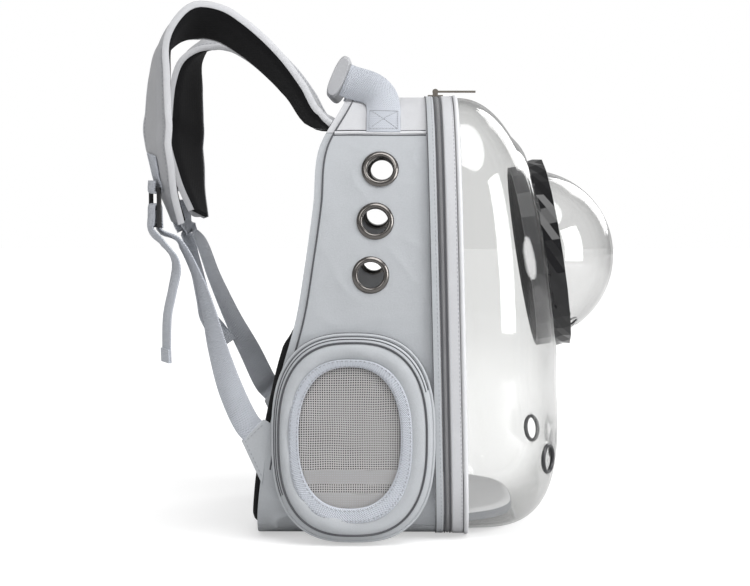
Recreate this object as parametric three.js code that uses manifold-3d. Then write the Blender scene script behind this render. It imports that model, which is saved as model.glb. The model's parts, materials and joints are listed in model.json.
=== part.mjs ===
// Bubble pet carrier backpack, in millimetres, +Z up, standing on its base at the origin.
// The clear front faces -Y, the wearer's side faces +Y, and the wearer's left is -X.

import * as THREE from 'three';
import { mergeVertices } from 'three/addons/utils/BufferGeometryUtils.js';
import Module from 'manifold-3d';

// Driving dimensions of the soft case.
const height = 420;
const halfWidth = 150;
const baseDepth = 200;
const frontAtFloor = -101;
const leanDegrees = 1.36;
const beltHeight = 140;
const baseSag = 2;
const crownPower = 3.5;
const basePower = 5;
const stationCount = 48;
const clearance = 0.3;

// Depth of the case from its front plane to the back edge, as a share of baseDepth,
// one row for each equal step of height from the floor to the top.
const depthShares = [1.0, 0.972, 0.922, 0.86, 0.782, 0.732, 0.69, 0.66, 0.53];

// Panels and the front frame, measured from the front plane backwards.
const panelWall = 3;
const panelInset = 5;
const seamAtFloor = 31;
const gussetFront = 23.3;
const zipFront = 16;
const bandFront = 4.6;
const frameWall = 3.2;
const tapeWall = 1.6;
const coilProud = 1.4;
const pipingProud = 0.8;
const topSeamDrop = 37;
const baseSeamHeight = 12;

// Back padding.
const backWall = 5;
const padThick = 9;
const padInset = 12;
const lumbarPad = { low: 12, high: 194, proud: 2.6 };
const shoulderPad = { low: 214, high: 366, proud: -2 };

// Clear front.
const clearWall = 2.2;
const bulge = 94;
const clearInset = 1.5;
const clearLift = 2.5;
const topPower = 2.2;
const sidePower = 2.3;
const lowPower = 3.5;
const clearRows = 6;

// Dome window and its collar on a flat land of the clear front.
const domeHeight = 264.5;
const domeAdvance = 175.2;
const domeTiltDegrees = 9;
const collarRadius = 92.4;
const collarFacet = 1.4;
const collarHigh = 16;
const collarNeck = 85.6;
const collarNeckDepth = 15;
const collarLedge = 1.4;
const collarNeckWall = 3.6;
const collarSleevePlay = 0.6;
const collarSegments = 36;
const landRadius = 97;
const landBlend = 28;
const landBore = 8;
const domeRadius = 85;
const domeWall = 2;
const domeCentreBack = 11;
const domeSegments = 28;
const domeRows = 6;
const lockRingWall = 3.2;
const lockRingDeep = 14;
const lockRingGrip = 1.1;
const lockRingPlay = 0.5;
const lockRingSegments = 40;

// Vent holes in the dome and in the clear front.
const domeVentRadius = 7;
const domeVentPolarDegrees = 69;
const domeVentStepDegrees = 26;
const domeVentSegments = 12;
const frontVentRadius = 11;
const frontVentRim = 3.5;
const frontVentProud = 0.8;
const ventSegments = 16;
const frontVents = [
  { name: 'left', out: -0.67, up: 0.175 },
  { name: 'middle', out: 0, up: 0.175 },
  { name: 'right', out: 0.67, up: 0.175 },
];

// Eyelets, by their height as a share of the case, and their distance from the origin along Y.
const eyeletHole = 12;
const eyeletNeck = 1.3;
const eyeletRim = 17.3;
const eyeletBackRim = 16;
const eyeletProud = 2.2;
const eyeletFlange = 1;
const eyeletBevel = 1.2;
const eyeletBearing = 0.9;
const eyeletSegments = 12;
const eyeletRows = [
  { name: 'upper', up: 0.83, back: -0.087 },
  { name: 'middle', up: 0.716, back: -0.065 },
  { name: 'lower', up: 0.598, back: -0.044 },
];

// Side windows.
const windowProud = 14.5;
const windowWall = 2.5;
const windowShoulder = 0.55;
const netEdge = 2;
const trimBevel = 1;
const pocketSeat = 0.8;
const windowSegments = 32;
const trimThick = 1.8;
const meshThick = 1.2;
const pocketOutline = { back: 0.035, up: 0.24, wide: 74, high: 95.5, power: 2.7 };
const faceOutline = { back: 0.038, up: 0.239, wide: 68, high: 89, power: 2.6 };
const trimOutline = { back: 0.048, up: 0.235, wide: 57, high: 76, power: 2.5 };
const openingOutline = { back: 0.052, up: 0.243, wide: 47, high: 65.5, power: 2.4 };

// Grab handle.
const handleWebbing = 35;
const handleThick = 2;
const handleSeat = 0.7;
const handleBack = -0.102;
const handleMeet = -0.46;
const handleRows = [
  { out: -0.545, back: -0.088, up: 0.992, turn: 90, dip: -14 },
  { out: -0.505, back: -0.045, up: 1.012, turn: 90, dip: -40 },
];
const gripSpan = 152;
const gripWide = 43;
const gripThick = 14;
const gripTiltDegrees = 22.7;
const gripEndLong = 5;
const gripEndShare = 0.94;
const gripTurnSteps = 4;
const gripLead = 6;
const gripCentre = { back: 0.115, up: 1.04 };

// Shoulder straps. Each row gives the middle of the strap as shares of halfWidth, baseDepth
// and height, then the way its width points: turned from X towards Y, and dipped, in degrees.
const strapWidth = 65;
const strapShellThick = 5;
const strapLiningThick = 6;
const strapSections = 28;
const strapRoot = { out: -0.48, up: 0.931, lift: 0.5, lead: 3 };
const strapRows = [
  { out: -0.487, back: 0.235, up: 0.95, turn: 10, dip: -10, wide: 0.92 },
  { out: -0.533, back: 0.324, up: 1.011, turn: 12, dip: -11, wide: 0.96 },
  { out: -0.6, back: 0.45, up: 1.079, turn: 14, dip: -14, wide: 1 },
  { out: -0.647, back: 0.585, up: 1.132, turn: 12, dip: -19, wide: 1 },
  { out: -0.667, back: 0.673, up: 1.155, turn: 6, dip: -23, wide: 1 },
  { out: -0.687, back: 0.768, up: 1.161, turn: 0, dip: -22, wide: 1 },
  { out: -0.707, back: 0.856, up: 1.14, turn: 4, dip: -12, wide: 1 },
  { out: -0.72, back: 0.926, up: 1.097, turn: 12, dip: -3, wide: 1 },
  { out: -0.727, back: 0.948, up: 1.035, turn: 20, dip: 0, wide: 1 },
  { out: -0.727, back: 0.955, up: 0.952, turn: 24, dip: 0, wide: 1 },
  { out: -0.72, back: 0.959, up: 0.891, turn: 24, dip: 0, wide: 1 },
  { out: -0.693, back: 0.942, up: 0.84, turn: 22, dip: 0, wide: 0.95 },
  { out: -0.653, back: 0.918, up: 0.779, turn: 18, dip: 0, wide: 0.8 },
  { out: -0.6, back: 0.878, up: 0.718, turn: 12, dip: 0, wide: 0.62 },
];

// Ladder-lock buckles and the webbing that they hold.
const webbingWide = 25;
const webbingThick = 1.6;
const buckleWide = 33;
const buckleBar = 4;
const buckleThick = 4;
const buckleUp = 18;
const buckleDown = 16;
const buckleTurnDegrees = 22;
const buckleCentre = { out: -0.7, back: 0.975, up: 0.743 };
const barClear = 0.5;
const wrapShare = { near: 0.9, far: 1.15, face: 0.85 };
const loopSewn = { heights: [34, 24, 13], lift: 0.8 };

// Webbing from the anchor tab up to the buckle, and its free tail below the buckle.
const leftRun = [
  { out: -0.92, back: 0.605, up: 0.34, turn: 75, dip: -36 },
  { out: -0.867, back: 0.67, up: 0.431, turn: 52, dip: -24 },
  { out: -0.827, back: 0.715, up: 0.513, turn: 36, dip: -12 },
  { out: -0.787, back: 0.77, up: 0.59, turn: 26, dip: -4 },
  { out: -0.745, back: 0.86, up: 0.668, turn: 22, dip: 0 },
];
const leftTail = [
  { out: -0.745, back: 0.94, up: 0.668, turn: 22, dip: 0 },
  { out: -0.75, back: 0.885, up: 0.635, turn: 22, dip: 0 },
  { out: -0.755, back: 0.872, up: 0.61, turn: 24, dip: 0 },
  { out: -0.76, back: 0.891, up: 0.558, turn: 24, dip: 0 },
  { out: -0.765, back: 0.914, up: 0.504, turn: 24, dip: 0 },
  { out: -0.77, back: 0.919, up: 0.44, turn: 24, dip: 0 },
  { out: -0.77, back: 0.917, up: 0.398, turn: 24, dip: 0 },
];
const rightRun = [
  { out: 0.907, back: 0.55, up: 0.284, turn: 102, dip: -40 },
  { out: 0.853, back: 0.622, up: 0.36, turn: 122, dip: -28 },
  { out: 0.8, back: 0.71, up: 0.446, turn: 142, dip: -14 },
  { out: 0.747, back: 0.808, up: 0.557, turn: 154, dip: -4 },
  { out: 0.72, back: 0.88, up: 0.65, turn: 158, dip: 0 },
];
const rightTail = [
  { out: 0.725, back: 0.945, up: 0.655, turn: 158, dip: 0 },
  { out: 0.72, back: 0.92, up: 0.61, turn: 157, dip: 0 },
  { out: 0.72, back: 0.893, up: 0.56, turn: 156, dip: 0 },
  { out: 0.72, back: 0.864, up: 0.499, turn: 150, dip: 0 },
  { out: 0.72, back: 0.842, up: 0.457, turn: 140, dip: 0 },
  { out: 0.72, back: 0.798, up: 0.424, turn: 128, dip: 0 },
  { out: 0.72, back: 0.745, up: 0.385, turn: 120, dip: 0 },
];

// Anchor tabs in the rear seam of each side panel.
const tabThick = 2.4;
const tabTop = 0.267;
const tabFoot = 0.133;
const tabTip = { behind: 24, up: 0.231 };
const tabHeel = { behind: 7.2, up: 0.279 };

// Zip slider and its pull.
const sliderWide = 10;
const sliderLong = 15;
const sliderThick = 2;
const lugThick = 1.6;
const lugLong = 5;
const pinRadius = 1.1;
const pinLift = 3.4;
const pullWide = 5.6;
const pullLong = 40;
const pullThick = 2;
const pullEye = 2.9;
const pullPlay = 0.4;
const lugCap = 0.8;
const pinSink = 0.2;
const pinSegments = 12;

// Floor mat.
const matTop = 25;
const matFrontLift = 14;
const matReach = 48;
const matEdge = 3;
const matRows = 12;
const matNoseHalf = 17.5;
const matFootStep = 2;

const wasm = await Module();
wasm.setup();

// Materials.
function finish(color, roughness, metalness = 0) {
  return new THREE.MeshStandardMaterial({ color, roughness, metalness });
}

const cloth = finish(0xc9ced4, 0.9);
const paleCloth = finish(0xdcdde1, 0.85);
const silverCloth = finish(0xc3c4c9, 0.8);
const webbingCloth = finish(0xd3d9e4, 0.85);
const blackMesh = finish(0x0c0c0d, 0.95);
const netting = finish(0xb9b9bc, 0.9);
const zipCloth = finish(0xb0b0b3, 0.75);
const clearPlastic = finish(0xdcdcda, 0.08);
const blackPlastic = finish(0x0b0b0c, 0.15);
const smokedPlastic = finish(0x3a3b3e, 0.3);
const blackAcetal = finish(0x101011, 0.4);
const gunmetal = finish(0x6b6864, 0.22, 1);
const nickel = finish(0xb4ada0, 0.25, 1);
const matCloth = finish(0xeeeeef, 0.9);

const degrees = Math.PI / 180;
const model = new THREE.Group();

function addPart(name, geometry, material) {
  const mesh = new THREE.Mesh(geometry, material);
  mesh.name = name;
  model.add(mesh);
}

// Mesh helpers.

function signedVolume(points, faces) {
  let sum = 0;
  for (const [a, b, c] of faces) {
    sum += points[a].dot(new THREE.Vector3().crossVectors(points[b], points[c]));
  }
  return sum / 6;
}

function meshFrom(points, faces) {
  const outward = signedVolume(points, faces) > 0;
  const index = faces.flatMap(([a, b, c]) => (outward ? [a, b, c] : [a, c, b]));
  const geometry = new THREE.BufferGeometry();
  const values = points.flatMap((point) => point.toArray());
  geometry.setAttribute('position', new THREE.Float32BufferAttribute(values, 3));
  geometry.setIndex(index);
  return geometry;
}

// A solid swept through rows of points: each row is one closed section. The rows either
// close on themselves, as a ring does, or end in two flat caps. The two halves of a section
// split their faces along the same diagonal, so two layers of a twisted strip stay parallel.
function sweep(rows, ring) {
  const across = rows[0].length;
  const points = rows.flat();
  const faces = [];
  const spans = ring ? rows.length : rows.length - 1;
  for (let i = 0; i < spans; i += 1) {
    const next = (i + 1) % rows.length;
    for (let j = 0; j < across; j += 1) {
      const side = (j + 1) % across;
      const a = i * across + j;
      const b = i * across + side;
      const c = next * across + side;
      const d = next * across + j;
      if (j < across / 2) {
        faces.push([a, b, c], [a, c, d]);
      } else {
        faces.push([a, b, d], [b, c, d]);
      }
    }
  }
  if (!ring) {
    const last = (rows.length - 1) * across;
    for (let j = 1; j < across - 1; j += 1) {
      faces.push([0, j + 1, j], [last, last + j, last + j + 1]);
    }
  }
  return meshFrom(points, faces);
}

function welded(geometry) {
  const bare = geometry.clone();
  bare.deleteAttribute('normal');
  bare.deleteAttribute('uv');
  return mergeVertices(bare, 1e-4);
}

function toManifold(geometry) {
  const bare = welded(geometry);
  const index = [...bare.index.array];
  const kept = [];
  for (let i = 0; i < index.length; i += 3) {
    const [a, b, c] = index.slice(i, i + 3);
    if (a !== b && b !== c && c !== a) {
      kept.push(a, b, c);
    }
  }
  const vertProperties = new Float32Array(bare.attributes.position.array);
  return new wasm.Manifold(new wasm.Mesh({ numProp: 3, vertProperties, triVerts: new Uint32Array(kept) }));
}

function fromManifold(solid) {
  const mesh = solid.getMesh();
  const geometry = new THREE.BufferGeometry();
  geometry.setAttribute('position', new THREE.Float32BufferAttribute(mesh.vertProperties, 3));
  geometry.setIndex([...mesh.triVerts]);
  return geometry;
}

function cut(geometry, cutters) {
  const start = toManifold(geometry);
  return fromManifold(cutters.reduce((solid, tool) => solid.subtract(toManifold(tool)), start));
}

function joined(geometries) {
  return fromManifold(geometries.map(toManifold).reduce((sum, solid) => sum.add(solid)));
}

function mirrored(geometry) {
  const copy = welded(geometry);
  copy.scale(-1, 1, 1);
  const index = [...copy.index.array];
  for (let i = 0; i < index.length; i += 3) {
    [index[i + 1], index[i + 2]] = [index[i + 2], index[i + 1]];
  }
  copy.setIndex(index);
  return copy;
}

// A turned ring from a closed profile of [radius, height] pairs, standing on the axis given.
function turned(profile, segments, centre, axis) {
  const rows = [];
  const turn = new THREE.Quaternion().setFromUnitVectors(new THREE.Vector3(0, 0, 1), axis);
  for (let i = 0; i < segments; i += 1) {
    const angle = (i / segments) * 2 * Math.PI;
    rows.push(profile.map(([radius, along]) => {
      const point = new THREE.Vector3(radius * Math.cos(angle), radius * Math.sin(angle), along);
      return point.applyQuaternion(turn).add(centre);
    }));
  }
  return sweep(rows, true);
}

function bar(from, to, radius, segments) {
  const length = from.distanceTo(to);
  const geometry = new THREE.CylinderGeometry(radius, radius, length, segments);
  const way = new THREE.Vector3().subVectors(to, from).normalize();
  geometry.applyQuaternion(new THREE.Quaternion().setFromUnitVectors(new THREE.Vector3(0, 1, 0), way));
  geometry.translate((from.x + to.x) / 2, (from.y + to.y) / 2, (from.z + to.z) / 2);
  return geometry;
}

// Shape of the case.

function frontPlane(z) {
  return frontAtFloor + z * Math.tan(leanDegrees * degrees);
}

function backEdge(z) {
  const place = Math.min(Math.max(z / height, 0), 1) * (depthShares.length - 1);
  const row = Math.min(Math.floor(place), depthShares.length - 2);
  const share = THREE.MathUtils.lerp(depthShares[row], depthShares[row + 1], place - row);
  return frontPlane(z) + share * baseDepth;
}

function outlineAt(angle, wide, top, bottom) {
  const across = Math.cos(angle);
  const rise = Math.sin(angle);
  const power = rise >= 0 ? crownPower : basePower;
  const reach = rise >= 0 ? top - beltHeight : beltHeight - bottom;
  const x = Math.sign(across) * wide * Math.abs(across) ** (2 / power);
  const z = beltHeight + Math.sign(rise) * reach * Math.abs(rise) ** (2 / power);
  return new THREE.Vector2(x, z);
}

// Station angles, closer together where the outline turns. They start at the bottom middle.
function spreadStations(count) {
  const fine = 1440;
  const samples = [];
  for (let i = 0; i <= fine; i += 1) {
    const angle = -Math.PI / 2 + (i / fine) * 2 * Math.PI;
    samples.push({ angle, at: outlineAt(angle, halfWidth, height, -baseSag) });
  }
  const way = samples.map((sample, i) => {
    const before = samples[Math.max(i - 1, 0)].at;
    const after = samples[Math.min(i + 1, fine)].at;
    return Math.atan2(after.y - before.y, after.x - before.x);
  });
  const measure = [0];
  const girth = 2 * (height + 2 * halfWidth);
  for (let i = 1; i <= fine; i += 1) {
    const step = samples[i].at.distanceTo(samples[i - 1].at) / girth;
    const bend = Math.abs(Math.atan2(Math.sin(way[i] - way[i - 1]), Math.cos(way[i] - way[i - 1])));
    measure.push(measure[i - 1] + step + bend / (2 * Math.PI));
  }
  const angles = [];
  let cursor = 0;
  for (let k = 0; k < count; k += 1) {
    const goal = (k / count) * measure[fine];
    while (measure[cursor + 1] < goal) {
      cursor += 1;
    }
    const share = (goal - measure[cursor]) / (measure[cursor + 1] - measure[cursor]);
    angles.push(THREE.MathUtils.lerp(samples[cursor].angle, samples[cursor + 1].angle, share));
  }
  return angles;
}

const stationAngles = spreadStations(stationCount);

// The outline as one point for each station, moved outwards by offset and kept above the floor.
function outline(wide, top, bottom, offset, floor) {
  const corners = stationAngles.map((angle) => outlineAt(angle, wide, top, bottom));
  return corners.map((corner, i) => {
    const before = corners[(i + corners.length - 1) % corners.length];
    const after = corners[(i + 1) % corners.length];
    const way = new THREE.Vector2().subVectors(after, before).normalize();
    return new THREE.Vector2(corner.x + way.y * offset, Math.max(corner.y - way.x * offset, floor));
  });
}

function frameOutline(offset) {
  return outline(halfWidth, height, -baseSag, offset, Math.max(-offset, 0));
}

function panelOutline(offset) {
  return outline(halfWidth - panelInset, height - 1, -baseSag, offset, Math.max(-offset, 0));
}

// Half the width of an outline at a height, read along its straight facets.
function halfWidthAt(corners, z) {
  const half = corners.slice(1, stationCount / 2);
  for (let i = 0; i < half.length - 1; i += 1) {
    if (z >= half[i].y && z <= half[i + 1].y && half[i + 1].y > half[i].y) {
      return THREE.MathUtils.mapLinear(z, half[i].y, half[i + 1].y, half[i].x, half[i + 1].x);
    }
  }
  return half[half.length - 1].x;
}

const panelOuter = panelOutline(0);
const panelInner = panelOutline(-panelWall);

function seamLine(z) {
  return frontPlane(z) + seamAtFloor;
}

// One panel of the case between two stations, from the front seam to the back edge.
function casePanel(first, last) {
  const rows = [];
  for (let i = first; i <= last; i += 1) {
    const k = (i + stationCount) % stationCount;
    const outer = panelOuter[k];
    const inner = panelInner[k];
    rows.push([
      new THREE.Vector3(outer.x, seamLine(outer.y), outer.y),
      new THREE.Vector3(outer.x, backEdge(outer.y), outer.y),
      new THREE.Vector3(inner.x, backEdge(inner.y), inner.y),
      new THREE.Vector3(inner.x, seamLine(inner.y), inner.y),
    ]);
  }
  return sweep(rows, false);
}

// The end of a panel is drawn back from the seam so that neighbours keep their clearance.
function trimmedEnds(geometry, low, high) {
  const big = 4 * height;
  const cutters = [];
  if (low !== null) {
    const box = new THREE.BoxGeometry(big, big, big);
    box.translate(0, 0, low - big / 2);
    cutters.push(box);
  }
  if (high !== null) {
    const box = new THREE.BoxGeometry(big, big, big);
    box.translate(0, 0, high + big / 2);
    cutters.push(box);
  }
  return cut(geometry, cutters);
}

// Stations on the +X side run from the bottom middle (0) to the top middle (stationCount / 2).
const topMiddle = stationCount / 2;

function stationNear(z) {
  let best = 1;
  for (let i = 1; i < topMiddle; i += 1) {
    if (Math.abs(panelOuter[i].y - z) < Math.abs(panelOuter[best].y - z)) {
      best = i;
    }
  }
  return best;
}

const seamGap = clearance / 2;

function pocketLoop(shape, x, grow = 0) {
  const loop = [];
  for (let i = 0; i < windowSegments; i += 1) {
    const angle = (i / windowSegments) * 2 * Math.PI;
    const along = Math.sign(Math.cos(angle)) * Math.abs(Math.cos(angle)) ** (2 / shape.power);
    const rise = Math.sign(Math.sin(angle)) * Math.abs(Math.sin(angle)) ** (2 / shape.power);
    const y = shape.back * baseDepth + (shape.wide + grow) * along;
    const z = shape.up * height + (shape.high + grow) * rise;
    loop.push(new THREE.Vector3(typeof x === 'function' ? x(z) : x, y, z));
  }
  return loop;
}

// A plug of the given outline along X, used to open the side panel behind the window.
function pocketPlug(shape, grow, fromX, toX) {
  const near = pocketLoop(shape, fromX, grow);
  const far = pocketLoop(shape, toX, grow);
  return sweep([near, far], false);
}

// Where an eyelet sits on the side panel: its middle, its axis, and how far the panel's
// facets stand above or fall below the plane of its rim.
function eyeletSeat(row) {
  const z = row.up * height;
  const x = halfWidthAt(panelOuter, z);
  const rim = eyeletRim * eyeletBearing;
  const upX = halfWidthAt(panelOuter, z + rim);
  const downX = halfWidthAt(panelOuter, z - rim);
  const axis = new THREE.Vector3(2 * rim, 0, downX - upX).normalize();
  let lift = 0;
  let sag = 0;
  for (const step of [-1, -0.75, -0.5, -0.25, 0, 0.25, 0.5, 0.75, 1]) {
    const level = z + step * eyeletRim;
    const off = (halfWidthAt(panelOuter, level) - x) * axis.x + (level - z) * axis.z;
    lift = Math.max(lift, off);
    sag = Math.max(sag, -off);
  }
  return { centre: new THREE.Vector3(x, row.back * baseDepth, z), axis, lift, sag };
}

function eyelet(row) {
  const seat = eyeletSeat(row);
  const outer = seat.lift + clearance;
  const inner = -(panelWall + seat.sag + clearance);
  const neck = eyeletHole + eyeletNeck;
  const profile = [
    [eyeletHole, inner - eyeletFlange],
    [eyeletHole, outer + eyeletProud - eyeletBevel],
    [(eyeletHole + eyeletRim) / 2, outer + eyeletProud],
    [eyeletRim, outer],
    [neck, outer],
    [neck, inner],
    [eyeletBackRim, inner],
    [eyeletBackRim, inner - eyeletFlange],
  ];
  return turned(profile, eyeletSegments, seat.centre, seat.axis);
}

function eyeletCutter(row) {
  const seat = eyeletSeat(row);
  const reach = seat.axis.clone().multiplyScalar(6 * panelWall);
  const radius = (eyeletHole + eyeletNeck + clearance) / Math.cos(Math.PI / eyeletSegments);
  return bar(seat.centre.clone().sub(reach), seat.centre.clone().add(reach), radius, eyeletSegments);
}

// Soft case: top, sides and base.
function buildCase() {
  const low = stationNear(baseSeamHeight);
  const high = stationNear(height - topSeamDrop);
  const lowZ = panelOuter[low].y;
  const highZ = panelOuter[high].y;
  const top = trimmedEnds(casePanel(high - 1, stationCount - high + 1), highZ + seamGap, null);
  const base = trimmedEnds(casePanel(-low - 1, low + 1), null, lowZ - seamGap);
  const side = trimmedEnds(casePanel(low - 1, high + 1), lowZ + seamGap, highZ - seamGap);
  const window = pocketPlug(openingOutline, panelWall, halfWidth / 2, halfWidth + windowProud);
  const right = cut(side, [window, ...eyeletRows.map(eyeletCutter)]);
  addPart('top_panel', top, paleCloth);
  addPart('base_panel', base, cloth);
  addPart('side_panel_left', mirrored(right), cloth);
  addPart('side_panel_right', right, cloth);
}

// Back wall: it fills the rear of the case between its panels, with its pads behind it.
// Every level where the back edge bends is a level of the wall and of the pads.
function bendLevels(low, high) {
  const bends = depthShares.map((_, i) => (i / (depthShares.length - 1)) * height);
  return bends.filter((z) => z > low + 1 && z < high - 1);
}

function slab(edge, levels, face, thick) {
  return sweep(levels.map((z) => {
    const x = halfWidthAt(edge, z);
    return [
      new THREE.Vector3(-x, face(z), z),
      new THREE.Vector3(x, face(z), z),
      new THREE.Vector3(x, face(z) - thick, z),
      new THREE.Vector3(-x, face(z) - thick, z),
    ];
  }), false);
}

function wallLevels(edge) {
  const corners = edge.slice(2, topMiddle).map((corner) => corner.y);
  const low = corners[0];
  const high = corners[corners.length - 1];
  const levels = [...corners, ...bendLevels(low, high)].sort((a, b) => a - b);
  return levels.filter((z, i) => i === 0 || z > levels[i - 1] + 0.2);
}

function buildBack() {
  const wallEdge = panelOutline(-panelWall - clearance);
  const padEdge = panelOutline(-panelWall - padInset);
  const wallFace = (z) => backEdge(z) - padThick;
  addPart('back_panel', slab(wallEdge, wallLevels(wallEdge), wallFace, backWall), cloth);
  for (const [name, pad] of [['back_pad_lower', lumbarPad], ['back_pad_upper', shoulderPad]]) {
    const face = (z) => backEdge(z) + pad.proud;
    const levels = [pad.low, ...bendLevels(pad.low, pad.high), pad.high];
    addPart(name, slab(padEdge, levels, face, padThick + pad.proud - clearance), blackMesh);
  }
}

// A ring of the front frame from a closed profile of [offset, distance behind the front plane].
function frameRing(profile) {
  const loops = profile.map(([offset]) => frameOutline(offset));
  const rows = stationAngles.map((_, i) => profile.map(([, behind], j) => {
    const corner = loops[j][i];
    return new THREE.Vector3(corner.x, frontPlane(corner.y) + behind, corner.y);
  }));
  return sweep(rows, true);
}

function buildFrontFrame() {
  const seam = seamAtFloor - clearance;
  const zipBack = gussetFront - clearance;
  const bandBack = zipFront - clearance;
  const pipingBack = bandFront - clearance;
  const coilMiddle = (gussetFront + zipFront) / 2;
  addPart('gusset', frameRing([
    [0, gussetFront],
    [0, seam],
    [-frameWall, seam],
    [-frameWall, gussetFront],
  ]), cloth);
  addPart('zip_track', frameRing([
    [-coilProud, zipFront],
    [0, coilMiddle],
    [-coilProud, zipBack],
    [-coilProud - tapeWall, zipBack],
    [-coilProud - tapeWall, zipFront],
  ]), zipCloth);
  addPart('lid_band', frameRing([
    [0, bandFront],
    [0, bandBack],
    [-frameWall, bandBack],
    [-frameWall, bandFront],
  ]), paleCloth);
  addPart('lid_piping', frameRing([
    [0, 0],
    [pipingProud, pipingBack / 2],
    [0, pipingBack],
    [-frameWall, pipingBack],
    [-frameWall, 0],
  ]), paleCloth);
}

// Clear front.

const clearWide = halfWidth - clearInset;
const clearTop = height - clearInset;
const domeTilt = domeTiltDegrees * degrees;
const domeAxis = new THREE.Vector3(0, -Math.cos(domeTilt), Math.sin(domeTilt));
const domeUp = new THREE.Vector3(0, Math.sin(domeTilt), Math.cos(domeTilt));
const domeSeat = new THREE.Vector3(0, -domeAdvance, domeHeight);
const holeRadius = (collarNeck + clearance) / Math.cos(Math.PI / stationCount);

function naturalDepth(x, z) {
  const rising = z >= beltHeight;
  const power = rising ? crownPower : basePower;
  const reach = rising ? clearTop - beltHeight : beltHeight - clearLift;
  const across = Math.abs(x) / clearWide;
  const rise = Math.abs(z - beltHeight) / reach;
  const radial = Math.min((across ** power + rise ** power) ** (1 / power), 1);
  const lean = rise ** 2 / Math.max(across ** 2 + rise ** 2, 1e-9);
  const curve = THREE.MathUtils.lerp(sidePower, rising ? topPower : lowPower, lean);
  return bulge * (1 - radial ** curve) ** (1 / curve);
}

function clearFace(x, z) {
  const away = Math.hypot(x, (z - domeHeight) / Math.cos(domeTilt));
  const blend = THREE.MathUtils.smoothstep(away, landRadius, landRadius + landBlend);
  const land = -domeAdvance + (z - domeHeight) * Math.tan(domeTilt);
  const natural = frontPlane(z) - clearance - naturalDepth(x, z);
  return new THREE.Vector3(x, THREE.MathUtils.lerp(land, natural, blend), z);
}

function clearNormal(x, z) {
  const step = 0.5;
  const across = clearFace(x + step, z).sub(clearFace(x - step, z));
  const rise = clearFace(x, z + step).sub(clearFace(x, z - step));
  return new THREE.Vector3().crossVectors(across, rise).normalize();
}

function ventAt(vent) {
  const x = vent.out * halfWidth;
  const z = vent.up * height;
  return { centre: clearFace(x, z), axis: clearNormal(x, z) };
}

function clearShell() {
  const rim = outline(clearWide, clearTop, clearLift, 0, clearLift);
  const innerRim = outline(clearWide, clearTop, clearLift, -clearWall, clearLift + clearWall);
  const onLand = (radius, heading) => {
    const x = radius * Math.cos(heading);
    const up = domeUp.clone().multiplyScalar(radius * Math.sin(heading));
    return new THREE.Vector3(x, 0, 0).add(up).add(domeSeat);
  };
  const rows = rim.map((corner, i) => {
    const heading = Math.atan2((corner.y - domeHeight) / Math.cos(domeTilt), corner.x);
    const start = onLand(landRadius, heading);
    const outer = [onLand(holeRadius - landBore, heading), start];
    const inner = outer.map((point) => point.clone().addScaledVector(domeAxis, -clearWall));
    for (let k = 1; k < clearRows; k += 1) {
      const share = Math.sin((k / clearRows) * Math.PI / 2);
      const x = THREE.MathUtils.lerp(start.x, corner.x, share);
      const z = THREE.MathUtils.lerp(start.z, corner.y, share);
      const point = clearFace(x, z);
      outer.push(point);
      inner.push(point.clone().addScaledVector(clearNormal(x, z), -clearWall));
    }
    outer.push(new THREE.Vector3(corner.x, frontPlane(corner.y) - clearance, corner.y));
    const within = innerRim[i];
    inner.push(new THREE.Vector3(within.x, frontPlane(within.y) - clearance, within.y));
    return [...outer, ...inner.reverse()];
  });
  return sweep(rows, true);
}

function buildClearFront() {
  const reach = 6 * clearWall;
  const radius = frontVentRadius + frontVentRim + clearance;
  const cutters = frontVents.map((vent) => {
    const { centre, axis } = ventAt(vent);
    const from = centre.clone().addScaledVector(axis, -reach);
    return bar(from, centre.clone().addScaledVector(axis, reach), radius, ventSegments);
  });
  const bore = domeAxis.clone().multiplyScalar(reach);
  cutters.push(bar(domeSeat.clone().sub(bore), domeSeat.clone().add(bore), holeRadius, stationCount));
  addPart('clear_front', cut(clearShell(), cutters), clearPlastic);
  for (const vent of frontVents) {
    const { centre, axis } = ventAt(vent);
    const outer = frontVentRadius + frontVentRim;
    const back = -clearWall - frontVentProud;
    const profile = [
      [frontVentRadius, back],
      [frontVentRadius, frontVentProud],
      [outer, frontVentProud],
      [outer, back],
    ];
    addPart(`vent_ring_${vent.name}`, turned(profile, ventSegments, centre, axis), smokedPlastic);
  }
}

// Dome window, collar and lock ring.

function domeDirection(polar, around) {
  const side = new THREE.Vector3(Math.sin(around), 0, 0).addScaledVector(domeUp, -Math.cos(around));
  return domeAxis.clone().multiplyScalar(Math.cos(polar)).addScaledVector(side, Math.sin(polar));
}

function buildDome() {
  const centre = domeSeat.clone().addScaledVector(domeAxis, -domeCentreBack);
  const foot = collarLedge + clearance;
  const arc = (radius) => {
    const end = Math.acos((foot + domeCentreBack) / radius);
    const points = [];
    for (let i = 0; i <= domeRows; i += 1) {
      const polar = (i / domeRows) * end;
      points.push(new THREE.Vector2(radius * Math.sin(polar), radius * Math.cos(polar)));
    }
    return points;
  };
  const profile = [...arc(domeRadius), ...arc(domeRadius - domeWall).reverse()];
  profile[0].x = 0;
  profile[profile.length - 1].x = 0;
  const lathe = new THREE.LatheGeometry(profile.reverse(), domeSegments);
  lathe.applyQuaternion(new THREE.Quaternion().setFromUnitVectors(new THREE.Vector3(0, 1, 0), domeAxis));
  lathe.translate(centre.x, centre.y, centre.z);
  const vents = [-1, 0, 1].map((step) => {
    const way = domeDirection(domeVentPolarDegrees * degrees, step * domeVentStepDegrees * degrees);
    const from = centre.clone().addScaledVector(way, domeRadius - 6 * domeWall);
    const to = centre.clone().addScaledVector(way, domeRadius + 6 * domeWall);
    return bar(from, to, domeVentRadius, domeVentSegments);
  });
  addPart('dome', cut(lathe, vents), clearPlastic);
}

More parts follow.
